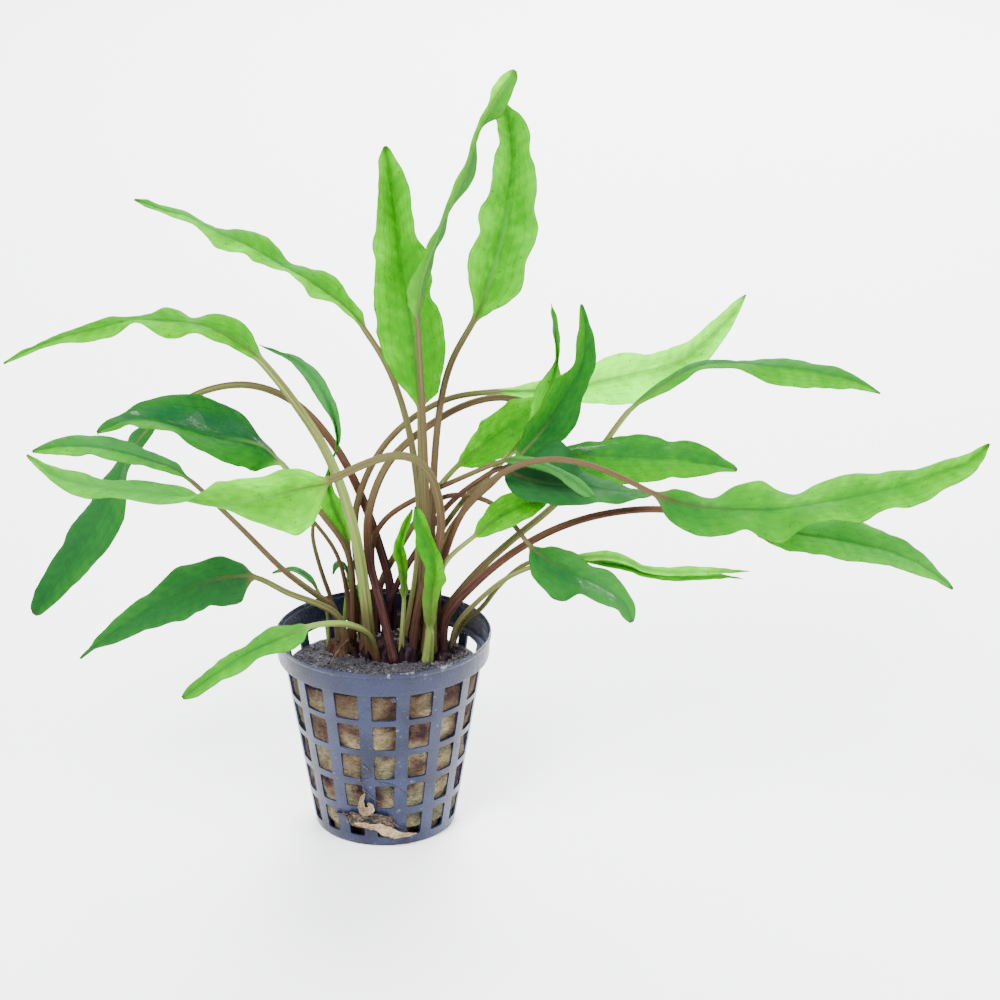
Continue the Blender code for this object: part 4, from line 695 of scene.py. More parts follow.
# %% The young leaves and shoots
YOUNG_LEAVES = {
    "young_leaf_front": dict(
        stalk=[(11.1, 45.4, 0.2), (11.5, 49.5, -0.6), (11.7, 53.0, -1.4)],
        blade=[(12.0, 62, -3.0), (12.9, 68.5, -4.6), (12.6, 73.3, -5.5), (11.1, 77.4, -6.2),
               (9.3, 81.4, -6.7), (8.1, 84.9, -7.2)],
        seen=([1.3, 1.6, 1.9, 2.2, 2.4, 2.2, 3.2, 3.9, 3.6, 2.7, 1.8],
              [-1.3, -1.4, -1.6, -2.2, -3.4, -2.3, -2.0, -1.3, -1.1, -1.4, -1.5]),
        lean=(-1, 1), tip=0.7, width=7.6, widest=0.35, stem=(2.8, 2.2), ruffle=(0.3, 2.0),
        sheath=0.55, tone=(1.05, 0.98, 0.9, 0.88), sides=(-0.22, 0.05), painted_sheen=(0.2, 0.0, 0.0, 0.0),
        stalk_tone=(0.13, 0.1), wet=0.0),
    "young_leaf_middle": dict(
        stalk=[(4.4, 47.6, 0.2), (4.8, 55.0, -0.4), (5.2, 61.0, -0.6)],
        blade=[(5.0, 67, -0.8), (4.5, 71.5, -1.0), (4.1, 75, -1.2), (4.9, 78, -1.5), (5.9, 80.8, -1.8),
               (7.4, 84.2, -2.0)],
        seen=([1.0, 1.0, 1.05, 1.2, 2.1, 1.7, 1.2, 1.0, 0.6],
              [-1.0, -1.0, -1.05, -1.2, -1.4, -1.0, -0.9, -0.9, -0.7]),
        lean=(-1, 1), tip=0.8, width=6.0, widest=0.45, stem=(1.15, 1.1), ruffle=(0.2, 2.0),
        sheath=0.6, tone=(0.98, 0.95, 0.92), sides=(-0.1, 0.08), painted_sheen=(0.15, 0.0, 0.0, 0.0),
        stalk_tone=(0.3, 0.1), wet=0.0),
    "young_leaf_hidden_high": dict(
        stalk=[(-8.4, 49.5, 12.2), (-8.8, 60.0, 12.0), (-11.6, 72.6, 8.4), (-19.0, 82.6, 2.6)],
        blade=[(-24.0, 86.8, -3.0), (-29.6, 88.8, -6.0), (-36.0, 88.6, -9.0)],
        faces=[(0.0, 0.7, 0.7), (0.0, 0.8, 0.6), (-0.1, 0.8, 0.6)],
        trough=0.2, tip=0.8, width=5.0, widest=0.4, stem=(1.5, 1.0), ruffle=(0.2, 2.0),
        tone=(0.5, 0.5), sides=(0.0, 0.0), painted_sheen=(0.1, 0.1),
        stalk_tone=(0.7, 0.45), wet=0.0),
    "young_leaf_hidden_low": dict(
        stalk=[(-11.2, 49.8, 13.0), (-12.8, 60.0, 13.0), (-15.6, 68.2, 12.0), (-17.9, 77.0, 10.4),
               (-17.6, 83.0, 8.4)],
        blade=[(-20.6, 86.8, 7.4), (-26.0, 88.2, 6.0), (-32.0, 88.0, 4.0)],
        faces=[(0.1, 0.8, 0.6), (0.0, 0.8, 0.6), (-0.1, 0.8, 0.6)],
        trough=0.2, tip=0.8, width=5.0, widest=0.4, stem=(1.4, 1.0), ruffle=(0.2, 2.0),
        tone=(0.5, 0.5), sides=(0.0, 0.0), painted_sheen=(0.1, 0.1),
        stalk_tone=(0.6, 0.4), wet=0.0),
    "young_leaf_left_bluish": dict(
        stalk=[(-13.8, 49.1, 11.2), (-14.2, 58.0, 10.0), (-16.6, 63.6, 8.4)],
        blade=[(-19.4, 67.0, 7.4), (-23.6, 68.8, 6.4), (-28.3, 68.0, 5.4)],
        faces=[(0.3, 0.7, 0.7), (0.0, 0.8, 0.6), (-0.1, 0.8, 0.6)],
        trough=0.3, tip=0.8, width=2.8, widest=0.4, stem=(1.0, 0.8), ruffle=(0.1, 2.0),
        tone=(0.3, 0.3), sides=(0.0, 0.0), painted_sheen=(0.4, 0.4),
        stalk_tone=(0.2, 0.1), wet=0.0),
    "young_leaf_left_curled": dict(
        stalk=[(-10.2, 50.7, 15.6), (-9.6, 60.0, 15.4), (-8.8, 65.6, 14.4)],
        blade=[(-9.4, 68.8, 13.4), (-11.4, 70.0, 12.4), (-12.9, 67.6, 11.4)],
        faces=[(0.7, 0.5, 0.5), (0.0, 0.8, 0.6), (-0.7, 0.4, 0.6)],
        trough=0.3, tip=0.8, width=2.8, widest=0.5, stem=(1.1, 0.9), ruffle=(0.1, 2.0),
        tone=(0.4, 0.45), sides=(0.0, 0.0), painted_sheen=(0.2, 0.2),
        stalk_tone=(0.1, 0.05), wet=0.0),
    "young_leaf_left_bright": dict(
        stalk=[(-5.4, 50.3, 15.4), (-7.0, 58.0, 15.8)],
        blade=[(-6.8, 62.4, 15.6), (-5.6, 65.0, 15.4), (-6.1, 68.4, 15.0)],
        faces=[(-0.5, 0.1, 0.8), (-0.5, 0.1, 0.8), (-0.3, 0.2, 0.9)],
        trough=0.3, tip=0.8, width=2.8, widest=0.4, stem=(1.2, 1.0), ruffle=(0.1, 2.0),
        tone=(0.8, 0.9), sides=(0.0, 0.0), painted_sheen=(0.0, 0.0),
        stalk_tone=(0.02, 0.02), wet=0.0),
}
print("the young leaves and shoots:", len(YOUNG_LEAVES))

# %% [markdown]
# ## Growing a leaf
# A leaf is one closed skin. It starts as a tube: a cone with equal ends, cut across into about a
# hundred rings. Each of its points is then moved to where the leaf has it. In the stalk the tube
# stays nearly round, with the shallow channel that a leaf stalk has on its upper side. In the blade
# it is pressed into a thin sheet with a midrib below, whose two halves reach to where the edges are
# seen. The sheet is quilted between its side veins and ruffled at its edges. The skin also carries
# the numbers that its finish needs, such as how far a point is from the midrib and from the edge.

# %% The outline of a blade
LEAF_SIDES = 32
STALK_SPACING = 1.7
BLADE_SPACING = 0.8
SOIL_LINE = 42.0


def on_steps(values, share, rounding):
    """Read a list given at even steps along a blade; it falls to nothing at both ends."""
    place = min(max(share, 0.0), 1.0) * (len(values) + 1) - 1.0
    if place < 0.0:
        return values[0] * (place + 1.0) ** 0.7
    if place > len(values) - 1:
        return values[-1] * max(len(values) - place, 0.0) ** rounding
    first = min(int(place), len(values) - 2)
    before, after = values[max(first - 1, 0)], values[min(first + 2, len(values) - 1)]
    return spline(before, values[first], values[first + 1], after, place - first)


def blade_shape(share, widest, tip):
    """Half of a leaf's outline: 0 at its foot and tip, 1 where it is widest."""
    if share <= widest:
        return math.sin(0.5 * math.pi * share / widest) ** 0.75
    return max(math.cos(0.5 * math.pi * (share - widest) / (1.0 - widest)), 0.0) ** tip


def along_blade(values, share):
    """Read a list that is spread evenly from the blade's foot to its tip."""
    place = min(max(share, 0.0), 0.9999) * (len(values) - 1)
    first = int(place)
    return values[first] + (values[first + 1] - values[first]) * (place - first)


def smooth_step(value):
    value = min(max(value, 0.0), 1.0)
    return value * value * (3.0 - 2.0 * value)


widths = [round(blade_shape(step / 5.0, 0.4, 0.6), 2) for step in range(1, 6)]
print("a blade's half width at five places:", widths)


# %% The rings of a leaf
FOOT_FLARE = 0.2
FLARE_HEIGHT = 4.0
FIRST_SHARE = 0.04
LAST_SHARE = 0.985
TIP_GAP = 0.15
DEPTH_ROUNDS = 14


def reach_of_edges(leaf, route, distance, share):
    """Two directions, and how far each edge reaches from the midrib along them."""
    half = 0.5 * leaf["width"] * max(blade_shape(share, leaf["widest"], leaf["tip"]), 0.02)
    if "seen" not in leaf:
        side, face = route.frame(distance)
        return side, face, (-half, half), (leaf["trough"] * half, leaf["trough"] * half)
    sight = route.point(distance) - EYE
    scale = sight.dot(AWAY) / PLANE_DISTANCE
    sight.normalize()
    leftward = route.along(distance).cross(sight).normalized()
    asides = [on_steps(values, share, leaf["tip"]) * scale for values in leaf["seen"]]
    depths = [lean * half * math.sqrt(max(1.0 - (aside / half) ** 2, 0.0) + 0.04)
              for aside, lean in zip(asides, leaf["lean"])]
    return leftward, sight, asides, depths


def leaf_stations(leaf, route):
    """The rings of a leaf, from its foot in the soil to its tip."""
    foot, start = route.foot(SOIL_LINE), route.blade_start
    stalk_count = max(8, round((start - foot) / STALK_SPACING))
    blade_count = max(24, round((route.length - start) / BLADE_SPACING))
    distances = [foot + (start - foot) * i / stalk_count for i in range(stalk_count)]
    distances += [start + (route.length - TIP_GAP - start) * i / blade_count
                  for i in range(blade_count + 1)]
    thick_foot, thick_top = leaf["stem"]
    stations, reaches = [], []
    for distance in distances:
        share = max(0.0, (distance - start) / (route.length - start))
        held = min(max(share, FIRST_SHARE), LAST_SHARE)
        reaches.append(reach_of_edges(leaf, route, start + held * (route.length - start), held))
        stalk_share = min(1.0, (distance - foot) / (start - foot))
        radius = 0.5 * (thick_foot + (thick_top - thick_foot) * stalk_share)
        radius += FOOT_FLARE * math.exp(-(distance - foot) / FLARE_HEIGHT)
        stations.append({"place": route.point(distance), "way": route.along(distance), "share": share,
                         "radius": radius * (1.0 - 0.88 * share ** 0.7), "flat": smooth_step(share / 0.06),
                         "close": min(1.0, (1.0 - share) / (1.0 - LAST_SHARE)) ** 0.5,
                         "reach": distance - start, "along": share if share > 0.0 else stalk_share - 1.0})
    depths = [even_out([reach[3][side] for reach in reaches], DEPTH_ROUNDS) for side in (0, 1)]
    for number, (station, (first, second, asides, _)) in enumerate(zip(stations, reaches)):
        station["edges"] = [(first * asides[side] + second * depths[side][number]) * station["close"]
                            for side in (0, 1)]
    side = stations[-1]["edges"][1] - stations[-1]["edges"][0]
    for station in reversed(stations):
        if station["share"] > 0.0:
            side = station["edges"][1] - station["edges"][0]
        side = (side - station["way"] * side.dot(station["way"])).normalized()
        station["side"], station["face"] = side, side.cross(station["way"]).normalized()
    return stations


print("rings stand", STALK_SPACING, "mm apart in a stalk and", BLADE_SPACING, "mm in a blade")


# %% Where a point of a ring goes
BLADE_HALF_THICKNESS = 0.17
ARCH = 0.22
QUILT_LENGTH = 3.9
QUILT_HEIGHT = 0.13
EDGE_NOTCHES = 0.35


def surface_height(leaf, station, across, half, seed):
    """How far the blade rises there: arched halves, quilting and the ruffles of its edge."""
    part, share, reach = abs(across), station["share"], station["reach"]
    shift = seed + (0.37 if across > 0.0 else 0.0)
    size, number = leaf["ruffle"]
    turn = number * share + shift + 0.6 * swell(Vector((share * 5.0, 0.0, 0.0)), 1.0, 1.0, seed)
    height = size * part ** 2.2 * math.sin(2.0 * math.pi * turn)
    height += ARCH * half * part * (1.0 - part)
    bands = (reach - 0.8 * part * half) / QUILT_LENGTH + shift
    bands += swell(Vector((reach, across * 4.0, 0.0)), 6.0, 0.9, seed)
    height += QUILT_HEIGHT * math.sin(math.pi * part) * math.sin(2.0 * math.pi * bands)
    return height * smooth_step(share * 8.0) * smooth_step((1.0 - share) * 7.0)


def leaf_offset(leaf, station, cosine, sine, seed):
    """The offset of one point of a ring from the midrib, and its place across the leaf."""
    radius, side, face = station["radius"], station["side"], station["face"]
    channel = 0.35 * max(sine, 0.0) * math.exp(-(cosine / 0.4) ** 2)
    stalk = (side * cosine + face * (sine - channel)) * radius
    across = math.copysign(abs(cosine) ** 1.5, cosine)
    right = across > 0.0
    edge = station["edges"][1 if right else 0]
    half = max(edge.length, radius)
    outward = edge.normalized()
    aside = abs(across) * half
    half_face = (outward.cross(station["way"]) if right else station["way"].cross(outward)).normalized()
    upward = face.lerp(half_face, smooth_step(aside / 1.8)).normalized()
    rib = max(0.2, radius * 0.9)
    height = surface_height(leaf, station, across, half, seed)
    body = BLADE_HALF_THICKNESS * min(1.0, abs(sine) * 2.2)
    if sine >= 0.0:
        height += body - 0.35 * rib * math.exp(-(aside / (0.8 * rib)) ** 2)
    else:
        height -= body + 1.1 * rib * math.exp(-(aside / rib) ** 2)
    notch = swell(Vector((station["reach"], 3.0 * across, 0.0)), 2.6, EDGE_NOTCHES, seed) * across ** 4
    blade = outward * (aside + notch * station["flat"] * station["close"]) + upward * height
    return stalk.lerp(blade, station["flat"]), across, aside, half - aside


# %% Build the skin of one leaf
LAYER_NAMES = ("across", "along", "upper", "aside", "edge", "blade", "reach", "tone", "stalk_tone",
               "painted_sheen", "wet", "rib", "start")
DEFAULT_SHEATH = 0.02


def grow_leaf(name, leaf, seed):
    stations = leaf_stations(leaf, Route(leaf))
    bm = upright_tube(LEAF_SIDES, len(stations))
    layers = {key: bm.verts.layers.float.new(key) for key in LAYER_NAMES}
    wrapping = bm.loops.layers.uv.new("around_and_along")
    for face in bm.faces:
        middle = face.calc_center_median()
        centre = math.atan2(middle.y, middle.x)
        for loop in face.loops:
            turn = math.atan2(loop.vert.co.y, loop.vert.co.x)
            turn += round((centre - turn) / (2.0 * math.pi)) * 2.0 * math.pi
            loop[wrapping].uv = (turn / (2.0 * math.pi) + 0.5, 0.5 * (loop.vert.co.z + 1.0))
    for vert in bm.verts:
        angle = math.atan2(vert.co.y, vert.co.x)
        station = stations[round(0.5 * (vert.co.z + 1.0) * (len(stations) - 1))]
        offset, across, aside, edge = leaf_offset(leaf, station, math.cos(angle), math.sin(angle), seed)
        vert.co = station["place"] + offset
        vert.co += station["face"] * swell(vert.co, 4.0, 0.14 * station["flat"], seed)
        vert[layers["across"]] = across
        vert[layers["along"]] = station["along"]
        vert[layers["upper"]] = 1.0 if math.sin(angle) > -0.01 else 0.0
        vert[layers["aside"]] = aside
        vert[layers["edge"]] = edge
        vert[layers["blade"]] = station["flat"]
        vert[layers["reach"]] = station["reach"]
        lean = leaf["sides"][1 if across > 0.0 else 0] * smooth_step(4.0 * abs(across))
        vert[layers["tone"]] = along_blade(leaf["tone"], station["share"]) + lean
        vert[layers["painted_sheen"]] = along_blade(leaf["painted_sheen"], station["share"])
        vert[layers["stalk_tone"]] = along_blade(leaf["stalk_tone"], min(station["along"], 0.0) + 1.0)
        vert[layers["wet"]] = max(leaf["wet"] * min(max(5.0 * across, -1.0), 1.0), 0.0)
        vert[layers["rib"]] = leaf.get("pale_rib", 0.0)
        vert[layers["start"]] = smooth_step(station["along"] / leaf.get("sheath", DEFAULT_SHEATH))
    bmesh.ops.recalc_face_normals(bm, faces=bm.faces)
    return piece_from(bm, name + "_skin", replaced=name)


leaf_pieces = []
ALL_LEAVES = {**TOP_LEAVES, **LEFT_LEAVES, **RIGHT_LEAVES, **YOUNG_LEAVES}
for number, (name, leaf) in enumerate(ALL_LEAVES.items()):
    leaf_pieces.append(grow_leaf(name, leaf, 0.37 * number))
faces_in_all = sum(len(piece.data.polygons) for piece in leaf_pieces)
print("leaves:", len(leaf_pieces), "faces in all:", faces_in_all)

# %% [markdown]
# ## The leaves' finish
# The upper side is a waxy green whose hue depends on the leaf: bright yellow-green where it is
# young or lit from behind, dark blue-green where it is old; the leaf that lies under the upright
# one is painted darker as well, as painted shade. It is marbled, darkest beside the midrib, and its
# edges are painted lighter, a painted glow of the light that passes through the thin margin. Each
# bulge between two side veins is painted a little lighter than its valleys, a painted shade in the
# valleys of the quilting. The edge has a thin dull line and the tip a small brown point. The
# underside is a little paler. The stalk's brown runs on into the midrib and fades there, and some
# midribs are pale: partly their own colour, partly a painted highlight of light shining through
# them. Some leaves carry a painted sheen, a bluish haze that stands for the reflection of the white
# room. A wet leaf carries a patchy film of water, which darkens the blade under it and shines at
# its rim. Light passes through the blade, so a translucent shader is mixed in where the leaf is
# thin.

# %% Veins, shared by the leaf finishes
veins, group_in, group_out = make_group(
    "leaf_veins",
    [("Across", "NodeSocketFloat", 0.0), ("Aside", "NodeSocketFloat", 0.0),
     ("Reach", "NodeSocketFloat", 0.0)],
    [("Long", "NodeSocketFloat"), ("Cross", "NodeSocketFloat"), ("Marbling", "NodeSocketFloat")])
sheet = add_node(veins, "ShaderNodeCombineXYZ", {
    "X": group_in.outputs["Reach"], "Y": reckon(veins, "MULTIPLY", group_in.outputs["Across"], 9.0)})
waver = add_node(veins, "ShaderNodeTexNoise", {"Vector": sheet.outputs["Vector"]}, Scale=0.2, Detail=1.0)
part = reckon(veins, "ABSOLUTE", group_in.outputs["Across"])
lines = reckon(veins, "ADD", reckon(veins, "MULTIPLY", part, 4.0), waver.outputs["Fac"])
long_lines = stretch(veins, reckon(veins, "PINGPONG", lines, 0.5), 0.0, 0.12, 1.0, 0.0)
veins.links.new(long_lines, group_out.inputs["Long"])
slant = reckon(veins, "SUBTRACT", group_in.outputs["Reach"],
               reckon(veins, "MULTIPLY", group_in.outputs["Aside"], 0.8))
slant = reckon(veins, "ADD", reckon(veins, "MULTIPLY", slant, 1.0 / QUILT_LENGTH),
               reckon(veins, "MULTIPLY", waver.outputs["Fac"], 0.9))
cross_lines = stretch(veins, reckon(veins, "PINGPONG", slant, 0.5), 0.0, 0.5)
veins.links.new(cross_lines, group_out.inputs["Cross"])
marble = add_node(veins, "ShaderNodeTexNoise", {"Vector": sheet.outputs["Vector"]}, Scale=0.3, Detail=4.0,
                  Roughness=0.6)
near_rib = stretch(veins, part, 0.05, 0.75, 1.0, 0.2)
veins.links.new(reckon(veins, "MULTIPLY", stretch(veins, marble.outputs["Fac"], 0.36, 0.66), near_rib),
                group_out.inputs["Marbling"])
print("vein group:", [item.name for item in veins.interface.items_tree])


# %% The blade's colour
def read_layer(tree, name):
    return add_node(tree, "ShaderNodeAttribute", attribute_name=name).outputs["Fac"]


leaf_finish, tree, shader = new_material("leaf_green")
across, along, upper = (read_layer(tree, name) for name in ("across", "along", "upper"))
aside, edge, blade = (read_layer(tree, name) for name in ("aside", "edge", "blade"))
place = own_place(tree)
patches = place_group(tree, blotches, {"Vector": place}, Scale=110.0)
vein = place_group(tree, veins, {"Across": across, "Aside": aside, "Reach": read_layer(tree, "reach")})

uneven = stretch(tree, patches.outputs["Mask"], 0.0, 1.0, -0.05, 0.07)
tone = reckon(tree, "ADD", read_layer(tree, "tone"), uneven)
tone = reckon(tree, "SUBTRACT", tone, reckon(tree, "MULTIPLY", vein.outputs["Marbling"], 0.13))
# The edges are painted lighter and the middle a little darker: a painted glow of the backlight through the
# thin margin.
tone = reckon(tree, "ADD", tone, stretch(tree, reckon(tree, "ABSOLUTE", across), 0.1, 0.95, -0.05, 0.03))
# Painted shade: the valleys between the quilted side veins are painted darker and the bulges lighter.
tone = reckon(tree, "ADD", tone, stretch(tree, vein.outputs["Cross"], 0.0, 1.0, -0.025, 0.025))
tone = reckon(tree, "ADD", tone, stretch(tree, vein.outputs["Long"], 0.0, 1.0, 0.015, -0.05))
green = ramp(tree, reckon(tree, "MULTIPLY", tone, 0.8), [
    (0.0, (0.006, 0.03, 0.012)), (0.24, (0.009, 0.07, 0.013)), (0.44, (0.016, 0.135, 0.01)),
    (0.64, (0.04, 0.25, 0.001)), (0.8, (0.108, 0.46, 0.001)), (1.0, (0.3, 1.0, 0.004))])
pale = blend(tree, 0.08, green, (0.24, 0.7, 0.04))
green = blend(tree, upper, pale, green)
# Painted sheen: a bluish haze mixed into the colour as a painted reflection of the white room.
green = blend(tree, read_layer(tree, "painted_sheen"), green, (0.075, 0.28, 0.085))
specks = add_node(tree, "ShaderNodeTexVoronoi", {"Vector": place}, Scale=380.0)
speck_mask = stretch(tree, specks.outputs["Distance"], 0.07, 0.12, 0.6, 0.0)
green = blend(tree, speck_mask, green, (0.02, 0.03, 0.008))
film_at = add_node(tree, "ShaderNodeCombineXYZ", {
    "X": reckon(tree, "MULTIPLY", read_layer(tree, "reach"), 0.1),
    "Y": reckon(tree, "MULTIPLY", across, 3.4)})
film = add_node(tree, "ShaderNodeTexNoise", {"Vector": film_at.outputs["Vector"]}, Scale=1.0, Detail=6.0,
                Roughness=0.6, Distortion=0.3)
wet = reckon(tree, "MULTIPLY", read_layer(tree, "wet"), stretch(tree, film.outputs["Fac"], 0.4, 0.43))
wet = reckon(tree, "MULTIPLY", wet, stretch(tree, reckon(tree, "ABSOLUTE", across), 0.5, 0.62, 1.0, 0.0))
wet = reckon(tree, "MULTIPLY", wet, stretch(tree, reckon(tree, "ABSOLUTE", along), 0.85, 0.95, 1.0, 0.0))
green = blend(tree, reckon(tree, "MULTIPLY", wet, 0.55), green, (0.006, 0.05, 0.022))
margin = stretch(tree, edge, 0.08, 0.35, 0.4, 0.0)
green = blend(tree, margin, green, (0.05, 0.05, 0.012))
green = blend(tree, stretch(tree, along, 0.972, 0.992, 0.0, 0.65), green, (0.04, 0.022, 0.014))
print("the blade's colour is wired")

# %% The stalk's colours, and where they run into the midrib
around_and_along = add_node(tree, "ShaderNodeUVMap", uv_map="around_and_along")
streaks_at = drawn_out(tree, around_and_along.outputs["UV"], (9.0, 7.0, 1.0))
streaks = place_group(tree, blotches, {"Vector": streaks_at}, Scale=1.0)
streaky = stretch(tree, streaks.outputs["Mask"], 0.0, 1.0, -0.11, 0.11)
stalk_tone = reckon(tree, "ADD", read_layer(tree, "stalk_tone"), streaky)
stalk = ramp(tree, stalk_tone, [
    (0.0, (0.1, 0.24, 0.025)), (0.14, (0.15, 0.18, 0.05)), (0.3, (0.085, 0.09, 0.03)),
    (0.5, (0.07, 0.052, 0.025)), (0.72, (0.06, 0.029, 0.016)), (0.88, (0.038, 0.014, 0.014)),
    (1.0, (0.017, 0.005, 0.010))])
stalk = blend(tree, stretch(tree, streaks.outputs["Fine"], 0.5, 1.0, 0.0, 0.3), stalk, (0.12, 0.09, 0.05))
rib = stretch(tree, aside, 0.25, 0.7, 1.0, 0.0)
fading = stretch(tree, along, 0.0, 0.6, 0.9, 0.3)
rib_mask = reckon(tree, "MULTIPLY", rib, fading)
rib_colour = blend(tree, upper, (0.14, 0.3, 0.05), (0.014, 0.07, 0.016))
# Pale midribs: partly the rib's own pale colour, partly a painted highlight of light shining through it.
rib_colour = blend(tree, read_layer(tree, "rib"), rib_colour, (0.13, 0.34, 0.09))
rib_colour = blend(tree, stretch(tree, along, 0.0, 0.35), stalk, rib_colour)
blade_colour = blend(tree, rib_mask, green, rib_colour)
is_blade = reckon(tree, "MULTIPLY", blade, read_layer(tree, "start"))
surface = blend(tree, is_blade, stalk, blade_colour)
tree.links.new(surface, shader.inputs["Base Color"])
print("the stalk's colour is wired")

# %% Gloss, relief and light that passes through
gloss = stretch(tree, patches.outputs["Fine"], 0.0, 1.0, 0.38, 0.52)
tree.links.new(gloss, shader.inputs["Roughness"])
shader.inputs["Specular IOR Level"].default_value = 0.008
rim_of_film = stretch(tree, film.outputs["Fac"], 0.43, 0.47, 1.0, 0.2)
shine = reckon(tree, "MULTIPLY", wet, reckon(tree, "MULTIPLY", rim_of_film, blade))
tree.links.new(shine, shader.inputs["Coat Weight"])
shader.inputs["Coat Roughness"].default_value = 0.08
shader.inputs["Coat IOR"].default_value = 1.45
relief = reckon(tree, "MULTIPLY", vein.outputs["Long"], reckon(tree, "MULTIPLY", blade, 0.5))
relief = reckon(tree, "ADD", relief, reckon(tree, "MULTIPLY", patches.outputs["Fine"], 0.7))
bump = roughened(tree, relief, 0.4, 0.00022)
tree.links.new(bump, shader.inputs["Normal"])
glow = add_node(tree, "ShaderNodeBsdfTranslucent", {"Normal": bump})
tree.links.new(blend(tree, 0.2, surface, (0.12, 0.75, 0.001), "ADD"), glow.inputs["Color"])
through = add_node(tree, "ShaderNodeMixShader")
thin = stretch(tree, read_layer(tree, "tone"), 0.1, 1.0, 0.12, 0.48)
tree.links.new(reckon(tree, "MULTIPLY", blade, thin), through.inputs[0])
tree.links.new(shader.outputs["BSDF"], through.inputs[1])
tree.links.new(glow.outputs["BSDF"], through.inputs[2])
tree.links.new(through.outputs["Shader"], tree.nodes["Material Output"].inputs["Surface"])
for piece in leaf_pieces:
    piece.data.materials.append(leaf_finish)
print("leaf finish on", len(leaf_pieces), "pieces")

# %% [markdown]
# ## The net pot
# The pot is one thin moulded wall: sixteen upright ribs and six hoops leave eighty openings under
# a solid rim band. It is made as a sheet first. A ring of points is extruded up the profile, and
# the faces between two ribs are left out in five bands. Then the sheet gets its thickness, the
# corners of the openings are rounded, and a fine bevel gives every edge its moulded softness.

# %% The pot's sizes and one ring of it
POT_HEIGHT = 52.0
RIM_RADIUS = 27.3
RIM_FOOT = 45.5
WALL_TOP_RADIUS = 25.2
BASE_RADIUS = 17.9
WALL = 0.55
COLUMNS = 16
RIB_WIDTH = 3.3
WINDOW_ROWS = 5
WINDOW_HEIGHT = 6.6
WINDOW_PITCH = 8.7
TALLER_PER_ROW = 0.17
LOWEST_WINDOW = 2.8
RING_PARTS = 6
POT_TURN = math.radians(1.6)


def pot_radius(height):
    return BASE_RADIUS + (WALL_TOP_RADIUS - BASE_RADIUS) * height / RIM_FOOT


def set_ring(ring, spot, radius, height):
    """Four steps across each opening and two across each rib, whose width stays the same."""
    pitch = 2.0 * math.pi / COLUMNS
    half_rib = min(math.asin(0.5 * RIB_WIDTH / radius), 0.3 * pitch)
    opening = pitch - 2.0 * half_rib
    for vert in ring:
        column, step = divmod(vert[spot], RING_PARTS)
        across = opening * (min(step, 4) / 4.0 - 0.5) + (half_rib if step == 5 else 0.0)
        angle = column * pitch + across - 0.5 * math.pi + POT_TURN
        vert.co = around(radius, angle, height)


# Each level is a radius, a height and whether the step up to it has openings.
levels = [(6.5, 0.0, False), (14.0, 0.0, True), (17.2, 0.0, False), (17.75, 0.25, False),
          (17.98, 0.9, False)]
for row in range(WINDOW_ROWS):
    low = LOWEST_WINDOW + row * WINDOW_PITCH
    high = low + WINDOW_HEIGHT + TALLER_PER_ROW * row
    levels += [(pot_radius(low), low, False), (pot_radius(high), high, True)]
levels += [(WALL_TOP_RADIUS, 45.3, False), (25.5, 45.55, False), (26.3, 45.6, False),
           (26.7, 45.8, False), (26.85, 46.4, False), (27.0, 49.8, False), (27.02, 50.5, False),
           (RIM_RADIUS, 50.75, False), (27.4, 51.3, False), (RIM_RADIUS, 51.85, False),
           (27.0, POT_HEIGHT, False)]
print("levels of the pot's profile:", len(levels))

# %% Extrude the sheet up its profile
bm = bmesh.new()
spot = bm.verts.layers.int.new("spot")
ring = bmesh.ops.create_circle(bm, segments=COLUMNS * RING_PARTS, radius=1.0, cap_ends=True)["verts"]
for vert in ring:
    vert[spot] = round(math.atan2(vert.co.y, vert.co.x) / (2.0 * math.pi) * len(ring)) % len(ring)
set_ring(ring, spot, levels[0][0], levels[0][1])
edges = bm.edges[:]
for radius, height, openings in levels[1:]:
    made = bmesh.ops.extrude_edge_only(bm, edges=edges)["geom"]
    ring = of_kind(made, bmesh.types.BMVert)
    fresh = set(ring)
    edges = [edge for edge in of_kind(made, bmesh.types.BMEdge) if fresh.issuperset(edge.verts)]
    set_ring(ring, spot, radius, height)
    if openings:
        bands = of_kind(made, bmesh.types.BMFace)
        holes = [face for face in bands if max(v[spot] % RING_PARTS for v in face.verts) < 5
                 and {v[spot] // RING_PARTS for v in face.verts} == {face.verts[0][spot] // RING_PARTS}]
        bmesh.ops.delete(bm, geom=holes, context="FACES_ONLY")
loose = [edge for edge in bm.edges if not edge.link_faces]
bmesh.ops.delete(bm, geom=loose, context="EDGES")
bmesh.ops.recalc_face_normals(bm, faces=bm.faces)
base = min(bm.faces, key=lambda face: face.calc_center_median().length)
if base.normal.z > 0.0:
    bmesh.ops.reverse_faces(bm, faces=bm.faces)
print("faces of the sheet:", len(bm.faces))

# %% Thicken it and round the openings' corners
CORNER_RADIUS = 0.42
bmesh.ops.solidify(bm, geom=bm.faces[:], thickness=WALL)
corners = []
for edge in bm.edges:
    middle = (edge.verts[0].co + edge.verts[1].co) / 2.0
    way = (edge.verts[1].co - edge.verts[0].co).normalized()
    outward = Vector((middle.x, middle.y, 0.0)).normalized()
    if middle.z > 1.5 and edge.calc_length() < 1.4 * WALL and abs(way.dot(outward)) > 0.8:
        if len(edge.link_faces) == 2 and edge.calc_face_angle() > 1.0:
            corners.append(edge)
bmesh.ops.bevel(bm, geom=corners, affect="EDGES", offset=CORNER_RADIUS, segments=2, profile=0.5,
                material=-1)
pot = piece_from(bm, "net_pot_moulded", replaced="net_pot", sharp=40.0)
edges_softened = pot.modifiers.new("moulded_edges", "BEVEL")
edges_softened.width = 0.00014
edges_softened.segments = 2
edges_softened.limit_method = "ANGLE"
edges_softened.angle_limit = math.radians(50.0)
edges_softened.harden_normals = False
print("corners rounded:", len(corners), "box of the pot:", [round(v, 4) for v in pot.dimensions])
